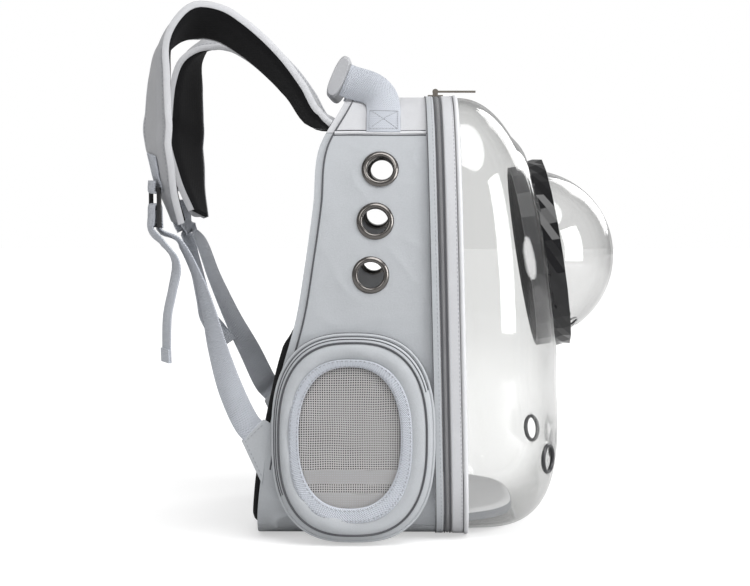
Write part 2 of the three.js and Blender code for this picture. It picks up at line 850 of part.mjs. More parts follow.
// The collar's outer wall is cut in diamonds: its radius alternates from one corner to the next.
function buildCollar() {
  const turn = new THREE.Quaternion().setFromUnitVectors(new THREE.Vector3(0, 0, 1), domeAxis);
  const sleeve = domeRadius - collarSleevePlay;
  const neckInner = collarNeck - collarNeckWall;
  const rows = [];
  for (let i = 0; i < collarSegments; i += 1) {
    const angle = (i / collarSegments) * 2 * Math.PI;
    const high = collarRadius + (i % 2 ? collarFacet : 0);
    const low = collarRadius + (i % 2 ? 0 : collarFacet);
    const profile = [
      [neckInner, -collarNeckDepth],
      [collarNeck, -collarNeckDepth],
      [collarNeck, clearance],
      [low, clearance],
      [high, collarHigh / 2],
      [low, collarHigh],
      [sleeve, collarHigh],
      [sleeve, collarLedge],
      [neckInner, collarLedge],
    ];
    rows.push(profile.map(([radius, along]) => {
      const point = new THREE.Vector3(radius * Math.cos(angle), radius * Math.sin(angle), along);
      return point.applyQuaternion(turn).add(domeSeat);
    }));
  }
  addPart('dome_collar', sweep(rows, true), blackPlastic);
}

function buildLockRing() {
  const turn = new THREE.Quaternion().setFromUnitVectors(new THREE.Vector3(0, 0, 1), domeAxis);
  const inner = collarNeck + lockRingPlay;
  const front = -clearWall - lockRingPlay;
  const rows = [];
  for (let i = 0; i < lockRingSegments; i += 1) {
    const angle = (i / lockRingSegments) * 2 * Math.PI;
    const outer = inner + lockRingWall + (i % 2 ? lockRingGrip : 0);
    const back = front - lockRingDeep;
    const profile = [[inner, front], [outer, front], [outer, back], [inner, back]];
    rows.push(profile.map(([radius, along]) => {
      const point = new THREE.Vector3(radius * Math.cos(angle), radius * Math.sin(angle), along);
      return point.applyQuaternion(turn).add(domeSeat);
    }));
  }
  addPart('dome_lock_ring', sweep(rows, true), smokedPlastic);
}

// Side windows: a raised pocket with a padded face, a webbing trim and netting.
function buildWindows() {
  const wall = halfWidth - panelInset;
  const seat = panelOutline(pocketSeat);
  const onPanel = (z) => halfWidthAt(seat, z);
  const face = wall + windowProud;
  const shoulder = wall + windowProud * windowShoulder;
  const rim = pocketOutline;
  const opening = openingOutline;
  const loops = [
    pocketLoop(rim, onPanel),
    pocketLoop(rim, shoulder),
    pocketLoop(faceOutline, face),
    pocketLoop(opening, face, netEdge),
    pocketLoop(opening, face - windowWall, netEdge),
    pocketLoop(faceOutline, face - windowWall, -windowWall),
    pocketLoop(rim, shoulder - windowWall, -windowWall),
    pocketLoop(rim, onPanel, -windowWall),
  ];
  const rows = loops[0].map((_, i) => loops.map((loop) => loop[i]));
  const pocket = sweep(rows, true);
  const trimLow = face + clearance;
  const trimLoops = [
    pocketLoop(trimOutline, trimLow),
    pocketLoop(trimOutline, trimLow + trimThick, -trimBevel),
    pocketLoop(opening, trimLow + trimThick, trimBevel),
    pocketLoop(opening, trimLow),
  ];
  const trim = sweep(trimLoops[0].map((_, i) => trimLoops.map((loop) => loop[i])), true);
  const netBack = face - windowWall + clearance;
  const net = pocketPlug(opening, netEdge - clearance, netBack, netBack + meshThick);
  for (const [side, make] of [['right', (part) => part], ['left', mirrored]]) {
    addPart(`window_pocket_${side}`, make(pocket), cloth);
    addPart(`window_trim_${side}`, make(trim), webbingCloth);
    addPart(`window_net_${side}`, make(net), netting);
  }
}

function buildEyelets() {
  for (const row of eyeletRows) {
    const right = eyelet(row);
    addPart(`eyelet_${row.name}_left`, mirrored(right), gunmetal);
    addPart(`eyelet_${row.name}_right`, right, gunmetal);
  }
}

// Straps and webbing.

function placed(row) {
  return new THREE.Vector3(row.out * halfWidth, row.back * baseDepth, row.up * height);
}

function widthWay(row) {
  const turn = row.turn * degrees;
  const dip = row.dip * degrees;
  return new THREE.Vector3(Math.cos(turn) * Math.cos(dip), Math.sin(turn) * Math.cos(dip), Math.sin(dip));
}

// A flat strip along a curve. Each stop has a place, the way its width points and its width.
// low and high are the two faces, measured from the curve along the strip's outer normal.
function ribbon(stops, sections, low, high) {
  const path = new THREE.CatmullRomCurve3(stops.map((stop) => stop.at));
  const ways = new THREE.CatmullRomCurve3(stops.map((stop) => stop.way));
  const widths = new THREE.CatmullRomCurve3(stops.map((stop) => new THREE.Vector3(stop.wide, 0, 0)));
  const rows = [];
  for (let i = 0; i <= sections; i += 1) {
    const share = i / sections;
    const at = path.getPoint(share);
    const along = path.getTangent(share);
    const way = ways.getPoint(share);
    way.addScaledVector(along, -way.dot(along)).normalize();
    const out = new THREE.Vector3().crossVectors(way, along);
    const half = widths.getPoint(share).x / 2;
    rows.push([[-half, low], [half, low], [half, high], [-half, high]].map(([side, lift]) => (
      at.clone().addScaledVector(way, side).addScaledVector(out, lift)
    )));
  }
  return sweep(rows, false);
}

// Where a strap leaves the back of the case, square to its surface.
function strapStart() {
  const z = strapRoot.up * height;
  const slope = (backEdge(z + 1) - backEdge(z - 1)) / 2;
  const away = new THREE.Vector3(0, 1, -slope).normalize();
  const base = new THREE.Vector3(strapRoot.out * halfWidth, backEdge(z), z);
  const distances = [strapRoot.lift, strapRoot.lift + strapRoot.lead];
  return distances.map((distance) => base.clone().addScaledVector(away, distance));
}

function strapStops() {
  const wide = strapWidth * strapRows[0].wide;
  const stops = strapStart().map((at) => ({ at, way: new THREE.Vector3(1, 0, 0), wide }));
  for (const row of strapRows) {
    stops.push({ at: placed(row), way: widthWay(row), wide: strapWidth * row.wide });
  }
  return stops;
}

// The outer face of the left strap at a height on its descending side.
function onStrap(z, lift) {
  const stops = strapStops();
  const path = new THREE.CatmullRomCurve3(stops.map((stop) => stop.at));
  const ways = new THREE.CatmullRomCurve3(stops.map((stop) => stop.way));
  let low = 0.6;
  let high = 1;
  for (let i = 0; i < 30; i += 1) {
    const middle = (low + high) / 2;
    if (path.getPoint(middle).z > z) {
      low = middle;
    } else {
      high = middle;
    }
  }
  const along = path.getTangent(low);
  const way = ways.getPoint(low);
  way.addScaledVector(along, -way.dot(along)).normalize();
  const out = new THREE.Vector3().crossVectors(way, along);
  const at = path.getPoint(low).addScaledVector(out, seamGap + strapShellThick + lift);
  return { at, way, wide: webbingWide };
}

function buildShoulderStraps() {
  const stops = strapStops();
  const shell = ribbon(stops, strapSections, seamGap, seamGap + strapShellThick);
  const lining = ribbon(stops, strapSections, -seamGap - strapLiningThick, -seamGap);
  addPart('strap_left', shell, silverCloth);
  addPart('strap_lining_left', lining, blackMesh);
  addPart('strap_right', mirrored(shell), silverCloth);
  addPart('strap_lining_right', mirrored(lining), blackMesh);
}

// A buckle's own frame: across, up and outwards, about the middle bar.
function buckleFrame(side) {
  const turn = buckleTurnDegrees * degrees;
  const across = new THREE.Vector3(Math.cos(turn), side * -Math.sin(turn), 0);
  const up = new THREE.Vector3(0, 0, 1);
  const out = new THREE.Vector3(side * Math.sin(turn), Math.cos(turn), 0);
  const centre = placed({ ...buckleCentre, out: -side * buckleCentre.out });
  const at = (w, t, n) => {
    const point = centre.clone().addScaledVector(across, w);
    return point.addScaledVector(up, t).addScaledVector(out, n);
  };
  return { across, up, out, at };
}

function blockIn(frame, wide, tall, deep, t, w = 0) {
  const geometry = new THREE.BoxGeometry(wide, tall, deep);
  const basis = new THREE.Matrix4().makeBasis(frame.across, frame.up, frame.out.clone());
  if (basis.determinant() < 0) {
    basis.makeBasis(frame.across.clone().negate(), frame.up, frame.out.clone());
  }
  geometry.applyMatrix4(basis);
  const at = frame.at(w, t, 0);
  geometry.translate(at.x, at.y, at.z);
  return geometry;
}

function buckle(side) {
  const frame = buckleFrame(side);
  const rail = (buckleWide - webbingWide) / 2 - 1;
  const railAt = (buckleWide - rail) / 2;
  const tall = buckleUp + buckleDown + buckleBar;
  const middle = (buckleUp - buckleDown) / 2;
  return joined([
    blockIn(frame, rail, tall, buckleThick, middle, -railAt),
    blockIn(frame, rail, tall, buckleThick, middle, railAt),
    blockIn(frame, buckleWide - rail, buckleBar, buckleThick, buckleUp),
    blockIn(frame, buckleWide - rail, buckleBar, buckleThick, 0),
    blockIn(frame, buckleWide - rail, buckleBar, buckleThick, -buckleDown),
  ]);
}

// Stops of a strip in a buckle's frame, from pairs of [up, out].
function buckleStops(frame, pairs) {
  return pairs.map(([t, n]) => ({ at: frame.at(0, t, n), way: frame.across, wide: webbingWide }));
}

function runStops(rows) {
  return rows.map((row) => ({ at: placed(row), way: widthWay(row), wide: webbingWide }));
}

// A corner of the anchor tab, by how far it stands behind the case's rear edge.
function tabCorner({ behind, up }) {
  return new THREE.Vector3(0, backEdge(up * height) + behind, up * height);
}

// The end of the webbing against the upper edge of the anchor tab.
function tabEnd(side) {
  const tip = tabCorner(tabTip);
  const heel = tabCorner(tabHeel);
  const way = new THREE.Vector3().subVectors(tip, heel).normalize();
  const away = new THREE.Vector3(0, -way.z, way.y);
  const at = tip.add(heel).multiplyScalar(0.5).addScaledVector(away, clearance);
  at.x = side * (halfWidth - panelInset - panelWall / 2);
  return { at, way, away };
}

// How far the middle of the webbing lies from a bar's middle, beyond its edge and off its face.
const wrap = buckleBar / 2 + barClear + webbingThick / 2;
const face = buckleThick / 2 + barClear + webbingThick / 2;

// The turn over a bar at a height, from its inner face to its outer face. way is 1 over the top.
function barTurn(height, way) {
  return [
    [height, -face],
    [height + way * wrap * wrapShare.near, -face * wrapShare.face],
    [height + way * wrap * wrapShare.far, 0],
    [height + way * wrap * wrapShare.near, face * wrapShare.face],
    [height, face],
  ];
}

function webbing(side, run, tail) {
  const frame = buckleFrame(side);
  const end = tabEnd(side);
  const lead = end.at.clone().addScaledVector(end.away, webbingWide / 4);
  const stops = [
    { at: end.at, way: end.way, wide: webbingWide },
    { at: lead, way: end.way, wide: webbingWide },
    ...runStops(run),
    ...buckleStops(frame, [
      [-buckleDown - buckleBar, -face - webbingThick],
      [-buckleDown + buckleBar / 2, -face - barClear],
      ...barTurn(0, 1),
      [-buckleDown / 2, face + barClear / 2],
      [-buckleDown - buckleBar, face + barClear / 2],
    ]),
    ...runStops(tail),
  ];
  return ribbon(stops, stops.length * 2 - 2, -webbingThick / 2, webbingThick / 2);
}

// Short webbing sewn on the strap, which goes round the buckle's upper bar.
function buckleLoop() {
  const frame = buckleFrame(-1);
  const lift = loopSewn.lift + webbingThick / 2;
  const middle = buckleCentre.up * height;
  const sewn = loopSewn.heights.map((above) => onStrap(middle + buckleUp + above, lift));
  const pairs = [
    [buckleUp + buckleBar, -face + barClear / 2],
    ...barTurn(buckleUp, -1),
    [buckleUp + 2 * buckleBar, face - barClear],
  ];
  const stops = [...sewn, ...buckleStops(frame, pairs)];
  return ribbon(stops, stops.length * 2 - 2, -webbingThick / 2, webbingThick / 2);
}

function anchorTab() {
  const top = tabTop * height;
  const foot = tabFoot * height;
  const sewn = [top, (top + foot) / 2, foot].map((up) => tabCorner({ behind: clearance, up: up / height }));
  const corners = [tabCorner(tabTip), tabCorner(tabHeel), ...sewn];
  const outer = halfWidth - panelInset - (panelWall - tabThick) / 2;
  const rows = [outer, outer - tabThick].map((x) => corners.map(({ y, z }) => new THREE.Vector3(x, y, z)));
  return sweep(rows, false);
}

function buildHarness() {
  buildShoulderStraps();
  const tab = anchorTab();
  addPart('anchor_tab_right', tab, cloth);
  addPart('anchor_tab_left', mirrored(tab), cloth);
  addPart('webbing_left', webbing(-1, leftRun, leftTail), webbingCloth);
  addPart('webbing_right', webbing(1, rightRun, rightTail), webbingCloth);
  const leftBuckle = buckle(-1);
  const loop = buckleLoop();
  for (const [name, make] of [['left', (part) => part], ['right', mirrored]]) {
    addPart(`buckle_${name}`, make(leftBuckle), blackAcetal);
    addPart(`buckle_loop_${name}`, make(loop), webbingCloth);
  }
}

// Grab handle: a webbing leg sewn on each upper corner, and a padded grip between the legs.
function handleLeg() {
  const rows = panelOutline(handleSeat + handleThick / 2);
  const first = stationNear(height - topSeamDrop);
  const stops = [];
  for (let i = first; i < first + 3; i += 1) {
    const at = new THREE.Vector3(-rows[i].x, handleBack * baseDepth, rows[i].y);
    stops.push({ at, way: new THREE.Vector3(0, 1, 0), wide: handleWebbing });
  }
  const tilt = gripTiltDegrees * degrees;
  const gripWay = new THREE.Vector3(0, Math.sin(tilt), -Math.cos(tilt));
  const gripFace = new THREE.Vector3(0, -Math.cos(tilt), -Math.sin(tilt));
  const grip = placed({ out: handleMeet, ...gripCentre });
  const meet = grip.clone().addScaledVector(gripFace, gripThick / 2 + clearance);
  for (const row of handleRows) {
    stops.push({ at: placed(row), way: widthWay(row), wide: handleWebbing });
  }
  stops.push({ at: meet.clone().addScaledVector(gripFace, gripLead), way: gripWay, wide: handleWebbing });
  stops.push({ at: meet, way: gripWay, wide: handleWebbing });
  return ribbon(stops, stops.length * 2 - 2, -handleThick / 2, handleThick / 2);
}

function handleGrip() {
  const tilt = gripTiltDegrees * degrees;
  const wideWay = new THREE.Vector3(0, -Math.sin(tilt), Math.cos(tilt));
  const faceWay = new THREE.Vector3(0, Math.cos(tilt), Math.sin(tilt));
  const centre = placed({ out: 0, ...gripCentre });
  const round = gripThick / 2;
  const flat = gripWide / 2 - round;
  const ring = (x, scale) => {
    const points = [];
    for (const end of [1, -1]) {
      for (let i = 0; i <= gripTurnSteps; i += 1) {
        const angle = (i / gripTurnSteps) * Math.PI - (end > 0 ? 0 : Math.PI);
        const wide = (end * flat + Math.sin(angle) * round) * scale;
        const at = centre.clone().addScaledVector(wideWay, wide);
        at.addScaledVector(faceWay, Math.cos(angle) * round);
        at.x = x;
        points.push(at);
      }
    }
    return points;
  };
  const half = gripSpan / 2;
  const body = half - gripEndLong;
  return sweep([ring(-half, gripEndShare), ring(-body, 1), ring(body, 1), ring(half, gripEndShare)], false);
}

function buildHandle() {
  const leg = handleLeg();
  addPart('handle_leg_left', leg, webbingCloth);
  addPart('handle_leg_right', mirrored(leg), webbingCloth);
  addPart('handle_grip', handleGrip(), silverCloth);
}

// Zip slider on the top of the track, and the pull on its pin.
function zipPlace() {
  const behind = (gussetFront + zipFront) / 2;
  const z = height + clearance;
  return { y: frontPlane(height) + behind, z, pin: z + sliderThick + pinLift };
}

function buildZipPull() {
  const { y, z, pin } = zipPlace();
  const plate = new THREE.BoxGeometry(sliderWide, sliderLong, sliderThick);
  plate.translate(0, y, z + sliderThick / 2);
  const pinHalf = pullWide / 2 + pullPlay + lugThick;
  const lugs = [-1, 1].map((side) => {
    const tall = pinLift + pinRadius + lugCap;
    const lug = new THREE.BoxGeometry(lugThick, lugLong, tall + sliderThick);
    lug.translate(side * (pinHalf - lugThick / 2), y, z + (tall + sliderThick) / 2);
    return lug;
  });
  const pinEnds = [-1, 1].map((side) => new THREE.Vector3(side * (pinHalf - pinSink), y, pin));
  const pinBar = bar(pinEnds[0], pinEnds[1], pinRadius, pinSegments);
  addPart('zip_slider', joined([plate, ...lugs, pinBar]), nickel);

  const eyeEnds = [-pullWide / 2, pullWide / 2].map((x) => new THREE.Vector3(x, y, pin));
  const eye = bar(eyeEnds[0], eyeEnds[1], pullEye, pinSegments);
  const blade = new THREE.BoxGeometry(pullWide, pullLong - pinRadius - pullPlay, pullThick);
  blade.translate(0, y - (pullLong + pinRadius + pullPlay) / 2, pin);
  const drillEnds = eyeEnds.map((end) => end.clone().setX(end.x * 2));
  const drill = bar(drillEnds[0], drillEnds[1], pinRadius + pullPlay, pinSegments);
  addPart('zip_pull', cut(joined([eye, blade]), [drill]), nickel);
}

// Floor mat: it lies on the base and reaches into the clear front with a rounded edge.
function buildMat() {
  const inside = panelOutline(-panelWall - clearance);
  const low = panelWall + clearance;
  const topHalf = halfWidthAt(inside, matFrontLift) - matEdge;
  const footHalf = halfWidthAt(inside, low) - matEdge;
  const front = frontPlane(0);
  const back = backEdge(0) - padThick - backWall - matEdge;
  const rows = [];
  const section = (y, top, foot, bottom) => [
    new THREE.Vector3(-foot, y, bottom),
    new THREE.Vector3(foot, y, bottom),
    new THREE.Vector3(top, y, matFrontLift + matFootStep),
    new THREE.Vector3(top, y, matTop),
    new THREE.Vector3(-top, y, matTop),
    new THREE.Vector3(-top, y, matFrontLift + matFootStep),
  ];
  rows.push(section(back, topHalf, footHalf, low));
  rows.push(section(front + bandFront, topHalf, footHalf, low));
  for (let i = 0; i <= matRows; i += 1) {
    const share = Math.sin((i / matRows) * Math.PI / 2);
    const wide = Math.max(topHalf * Math.sqrt(1 - share * share), matNoseHalf);
    const foot = Math.min(footHalf, wide - matFootStep);
    rows.push(section(front - matReach * share, wide, foot, matFrontLift));
  }
  addPart('floor_mat', sweep(rows, false), matCloth);
}

buildCase();
buildBack();
buildFrontFrame();
buildClearFront();
buildDome();
buildCollar();
buildLockRing();
buildEyelets();
buildWindows();
buildHandle();
buildHarness();
buildZipPull();
buildMat();

export default model;
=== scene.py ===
"""Looks of the bubble pet carrier backpack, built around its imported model."""

import json
import math
import random

import bmesh
import bpy
import numpy as np
from mathutils import Matrix, Vector, noise

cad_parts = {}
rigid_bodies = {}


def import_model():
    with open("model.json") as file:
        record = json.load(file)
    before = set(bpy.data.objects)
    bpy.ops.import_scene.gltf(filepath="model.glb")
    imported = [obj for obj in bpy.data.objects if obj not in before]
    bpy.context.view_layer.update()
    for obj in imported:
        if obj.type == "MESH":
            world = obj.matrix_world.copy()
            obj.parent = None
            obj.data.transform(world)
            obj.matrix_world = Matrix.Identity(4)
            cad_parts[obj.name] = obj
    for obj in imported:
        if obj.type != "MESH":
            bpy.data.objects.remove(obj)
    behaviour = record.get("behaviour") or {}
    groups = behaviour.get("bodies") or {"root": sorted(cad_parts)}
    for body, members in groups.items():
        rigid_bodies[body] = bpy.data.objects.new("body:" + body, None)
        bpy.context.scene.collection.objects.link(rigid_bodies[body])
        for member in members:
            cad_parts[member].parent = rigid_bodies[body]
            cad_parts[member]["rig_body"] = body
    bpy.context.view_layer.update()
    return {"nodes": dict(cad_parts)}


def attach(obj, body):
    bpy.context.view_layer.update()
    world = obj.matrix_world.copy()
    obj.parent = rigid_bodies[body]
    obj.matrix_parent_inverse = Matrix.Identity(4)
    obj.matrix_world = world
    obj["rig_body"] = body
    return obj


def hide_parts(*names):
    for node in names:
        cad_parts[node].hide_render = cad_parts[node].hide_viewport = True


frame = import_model()
nodes = frame["nodes"]
random.seed(7)

# Sizes are in millimetres, as in the part's source, and meshes are written in metres.
MM = 0.001

# How much brighter than its own light the white floor looks.
FLOOR_GLOW = 0.5

# Camera, from the photograph's vanishing point and size.
CAMERA_AT = (-1.765, -0.0304, 0.348)
CAMERA_LENS = 84.5
CAMERA_DIP = 4.0
CAMERA_TURN = 0.62

# Soft case.
HEIGHT = 420
HALF = 150
DEPTH = 200
FRONT = -101
LEAN = math.tan(math.radians(1.36))
BELT = 140
SAG = 2
CROWN_POWER = 3.5
BASE_POWER = 5
DEPTH_SHARES = [1.0, 0.972, 0.922, 0.86, 0.782, 0.732, 0.69, 0.66, 0.53]
PANEL_WALL = 3
PANEL_INSET = 5
PANEL_HALF = HALF - PANEL_INSET
PANEL_TOP = HEIGHT - 1
SEAM_BACK = 31
TOP_SEAM = 382.5
BASE_SEAM = 13.6
BACK_BORDER = 7.5
REAR_PIPING_FROM = 70

# Front frame, as distances behind the front plane.
GUSSET = (23.3, 30.7)
ZIP = (16, 23)
BAND = (4.6, 15.7)
PIPING = (0, 4.3)

# Clear front.
CLEAR_HALF = HALF - 1.5
CLEAR_TOP = HEIGHT - 1.5
CLEAR_LIFT = 2.5
CLEAR_WALL = 2.2
BULGE = 94
TOP_CURVE = 2.2
SIDE_CURVE = 2.3
LOW_CURVE = 3.5
LAND_RADIUS = 97
LAND_BLEND = 28

# Dome and collar.
DOME_TILT = math.radians(9)
DOME_AXIS = Vector((0, -math.cos(DOME_TILT), math.sin(DOME_TILT)))
DOME_UP = Vector((0, math.sin(DOME_TILT), math.cos(DOME_TILT)))
DOME_SEAT = Vector((0, -175.2, 264.5))
DOME_RADIUS = 85
DOME_WALL = 2
DOME_CENTRE_BACK = 11
HOLE_RADIUS = 86.1
COLLAR_LEDGE = 1.7
DOME_VENT = {"radius": 7, "polar": math.radians(69), "step": math.radians(26)}
FRONT_VENT_RADIUS = 11
FRONT_VENT_RIM = 3.5
FRONT_VENTS = {"left": (-0.67, 0.175), "middle": (0, 0.175), "right": (0.67, 0.175)}

# Eyelets, as shares of the height and of the depth.
EYELETS = {"upper": (0.83, -0.087), "middle": (0.716, -0.065), "lower": (0.598, -0.044)}
EYELET_HOLE = 12
EYELET_RIM = 17.3

# Side windows: each outline is its middle, its half sizes and its power.
WINDOW_PROUD = 14.5
POCKET = {"y": 7, "z": 100.8, "wide": 74, "high": 95.5, "power": 2.7}
FACE = {"y": 7.6, "z": 100.4, "wide": 68, "high": 89, "power": 2.6}
TRIM = {"y": 9.6, "z": 98.7, "wide": 57, "high": 76, "power": 2.5}
OPENING = {"y": 10.4, "z": 102.1, "wide": 47, "high": 65.5, "power": 2.4}
# The dark sheet behind each net paints the shade of the case's inside: how far behind the net it stands, and how far
# past the opening it reaches.
INNER_SHADE_BACK = 6
INNER_SHADE_SPARE = 1.5
NET_PITCH = 2.15
NET_WIDE = 0.43
NET_THICK = 0.22

# Back padding: low, high, proud.
PADS = {"back_pad_lower": (12, 194, 2.6), "back_pad_upper": (214, 366, -2)}
PAD_THICK = 9
PAD_INSET = 15
PAD_CROWN = 4

# Straps and webbing: shares of the half width, the depth and the height, then the way the
# width points, turned from X towards Y and dipped, in degrees.
STRAP_WIDTH = 65
STRAP_ROOT = (-0.48, 0.931)
STRAP_ROWS = [
    (-0.487, 0.235, 0.95, 10, -10, 0.92),
    (-0.533, 0.324, 1.011, 12, -11, 0.96),
    (-0.6, 0.45, 1.079, 14, -14, 1),
    (-0.647, 0.585, 1.132, 12, -19, 1),
    (-0.667, 0.673, 1.155, 6, -23, 1),
    (-0.687, 0.768, 1.161, 0, -22, 1),
    (-0.707, 0.856, 1.14, 4, -12, 1),
    (-0.72, 0.926, 1.097, 12, -3, 1),
    (-0.727, 0.948, 1.035, 20, 0, 1),
    (-0.727, 0.955, 0.952, 24, 0, 1),
    (-0.72, 0.959, 0.891, 24, 0, 1),
    (-0.693, 0.942, 0.84, 22, 0, 0.95),
    (-0.653, 0.918, 0.779, 18, 0, 0.8),
    (-0.6, 0.878, 0.718, 12, 0, 0.62),
]
WEBBING_WIDE = 25
WEBBING_THICK = 1.6
BUCKLE_WIDE = 33
BUCKLE_BAR = 4
BUCKLE_UP = 18
BUCKLE_DOWN = 16
BUCKLE_TURN = math.radians(22)
BUCKLE_CENTRE = (-0.7, 0.975, 0.743)
BAR_CLEAR = 0.5
LEFT_RUN = [
    (-0.92, 0.605, 0.34, 75, -36),
    (-0.867, 0.67, 0.431, 52, -24),
    (-0.827, 0.715, 0.513, 36, -12),
    (-0.787, 0.77, 0.59, 26, -4),
    (-0.745, 0.86, 0.668, 22, 0),
]
LEFT_TAIL = [
    (-0.745, 0.94, 0.668, 22, 0),
    (-0.75, 0.885, 0.635, 22, 0),
    (-0.755, 0.872, 0.61, 24, 0),
    (-0.76, 0.891, 0.558, 24, 0),
    (-0.765, 0.914, 0.504, 24, 0),
    (-0.77, 0.919, 0.44, 24, 0),
    (-0.77, 0.917, 0.398, 24, 0),
]
RIGHT_RUN = [
    (0.907, 0.55, 0.284, 102, -40),
    (0.853, 0.622, 0.36, 122, -28),
    (0.8, 0.71, 0.446, 142, -14),
    (0.747, 0.808, 0.557, 154, -4),
    (0.72, 0.88, 0.65, 158, 0),
]
RIGHT_TAIL = [
    (0.725, 0.945, 0.655, 158, 0),
    (0.72, 0.92, 0.61, 157, 0),
    (0.72, 0.893, 0.56, 156, 0),
    (0.72, 0.864, 0.499, 150, 0),
    (0.72, 0.842, 0.457, 140, 0),
    (0.72, 0.798, 0.424, 128, 0),
    (0.72, 0.745, 0.385, 120, 0),
]
TAB_THICK = 2.4
TAB_TIP = (111.2, 97.0)
TAB_HEEL = (90.5, 117.2)
TAB_TOP = 112.1
TAB_FOOT = 55.9

# Grab handle.
HANDLE_WEBBING = 32
HANDLE_THICK = 2
HANDLE_BACK = -0.102
HANDLE_ROWS = [(-0.545, -0.088, 0.992, 90, -14), (-0.505, -0.045, 1.012, 90, -40)]
HANDLE_MEET = -0.46
GRIP = {"back": 0.115, "up": 1.04, "span": 152, "wide": 43, "thick": 14, "tilt": math.radians(22.7)}


# Materials.


class Finish:
    """A material and short ways to add nodes to it."""

    def __init__(self, name, color, roughness, metallic=0.0, **sockets):
        self.material = bpy.data.materials.new(name)
        self.material.use_nodes = True
        self.tree = self.material.node_tree
        self.shader = self.tree.nodes["Principled BSDF"]
        self.set("Base Color", (*color, 1))
        self.set("Roughness", roughness)
        self.set("Metallic", metallic)
        for name, value in sockets.items():
            self.set(name.replace("_", " "), value)

    def set(self, name, value):
        self.shader.inputs[name].default_value = value

    def node(self, kind, links=None, settings=None, **values):
        made = self.tree.nodes.new(kind)
        for name, value in (settings or {}).items():
            setattr(made, name, value)
        for name, value in values.items():
            made.inputs[name.replace("_", " ")].default_value = value
        for name, socket in (links or {}).items():
            self.tree.links.new(socket, made.inputs[name])
        return made

    def math(self, operation, first, second=None):
        made = self.tree.nodes.new("ShaderNodeMath")
        made.operation = operation
        for place, value in enumerate((first, second)):
            if value is None:
                continue
            if isinstance(value, (int, float)):
                made.inputs[place].default_value = value
            else:
                self.tree.links.new(value, made.inputs[place])
        return made.outputs[0]

    def place(self):
        return self.node("ShaderNodeTexCoord").outputs["Object"]

    def strip(self):
        uv = self.node("ShaderNodeTexCoord").outputs["UV"]
        split = self.node("ShaderNodeSeparateXYZ", {"Vector": uv})
        return split.outputs["X"], split.outputs["Y"]

    def noise(self, scale, detail=3.0):
        made = self.node("ShaderNodeTexNoise", {"Vector": self.place()}, Scale=scale, Detail=detail)
        return made.outputs["Fac"]

    def waves(self, along, pitch):
        return self.math("SINE", self.math("MULTIPLY", along, 2 * math.pi / pitch))

    def blend_color(self, share, dark, light):
        made = self.node("ShaderNodeMix", {"Factor": share}, {"data_type": "RGBA"})
        made.inputs["A"].default_value = (*dark, 1)
        made.inputs["B"].default_value = (*light, 1)
        self.tree.links.new(made.outputs["Result"], self.shader.inputs["Base Color"])

    def bump(self, height, distance, strength=1.0):
        made = self.node("ShaderNodeBump", {"Height": height}, Strength=strength, Distance=distance)
        self.tree.links.new(made.outputs["Normal"], self.shader.inputs["Normal"])


def shaded(color, share):
    return tuple(value * share for value in color)


def cloth(name, color, pitch, depth, roughness=0.85, tone=0.9, sheen=0.25):
    """Plain weave, with faint slubs and slow changes of tone."""
    made = Finish(name, color, roughness, Sheen_Weight=sheen, Sheen_Roughness=0.4)
    across, along = made.strip()
    weave = made.math("MULTIPLY", made.waves(across, pitch), made.waves(along, pitch))
    slubs = made.noise(620, 2)
    height = made.math("ADD", made.math("MULTIPLY", weave, 0.5), slubs)
    made.bump(height, depth)
    tones = made.math("ADD", made.math("MULTIPLY", made.noise(45), 0.4), made.math("MULTIPLY", slubs, 0.6))
    made.blend_color(tones, shaded(color, tone), shaded(color, 2 - tone))
    return made.material


def ribbed(name, color, pitch, depth, roughness=0.8, tone=0.88):
    """Webbing: ribs across the strip and fine ends along it."""
    made = Finish(name, color, roughness, Sheen_Weight=0.3, Sheen_Roughness=0.35)
    across, along = made.strip()
    ribs = made.waves(along, pitch)
    ends = made.waves(across, pitch * 0.8)
    weave = made.math("MULTIPLY", ribs, ends)
    height = made.math("ADD", made.math("MULTIPLY", ribs, 0.4), weave)
    made.bump(height, depth)
    tones = made.math("ADD", made.math("MULTIPLY", made.noise(60), 0.8), made.math("MULTIPLY", weave, 0.2))
    made.blend_color(tones, shaded(color, tone), shaded(color, 2 - tone))
    return made.material


def air_mesh(name, color, pitch, depth):
    """Knitted black mesh with small round openings."""
    made = Finish(name, color, 0.9, Specular_IOR_Level=0.2)
    cells = made.node("ShaderNodeTexVoronoi", {"Vector": made.place()}, Scale=1000 / pitch, Randomness=0.15)
    height = made.math("MINIMUM", cells.outputs["Distance"], 0.5)
    made.bump(height, depth)
    made.blend_color(height, shaded(color, 3.2), shaded(color, 0.5))
    return made.material


def moulded(name, color, roughness, grain=600, depth=0.00004, **sockets):
    made = Finish(name, color, roughness, **sockets)
    made.bump(made.noise(grain), depth)
    made.blend_color(made.noise(80), shaded(color, 0.8), shaded(color, 1.2))
    return made.material


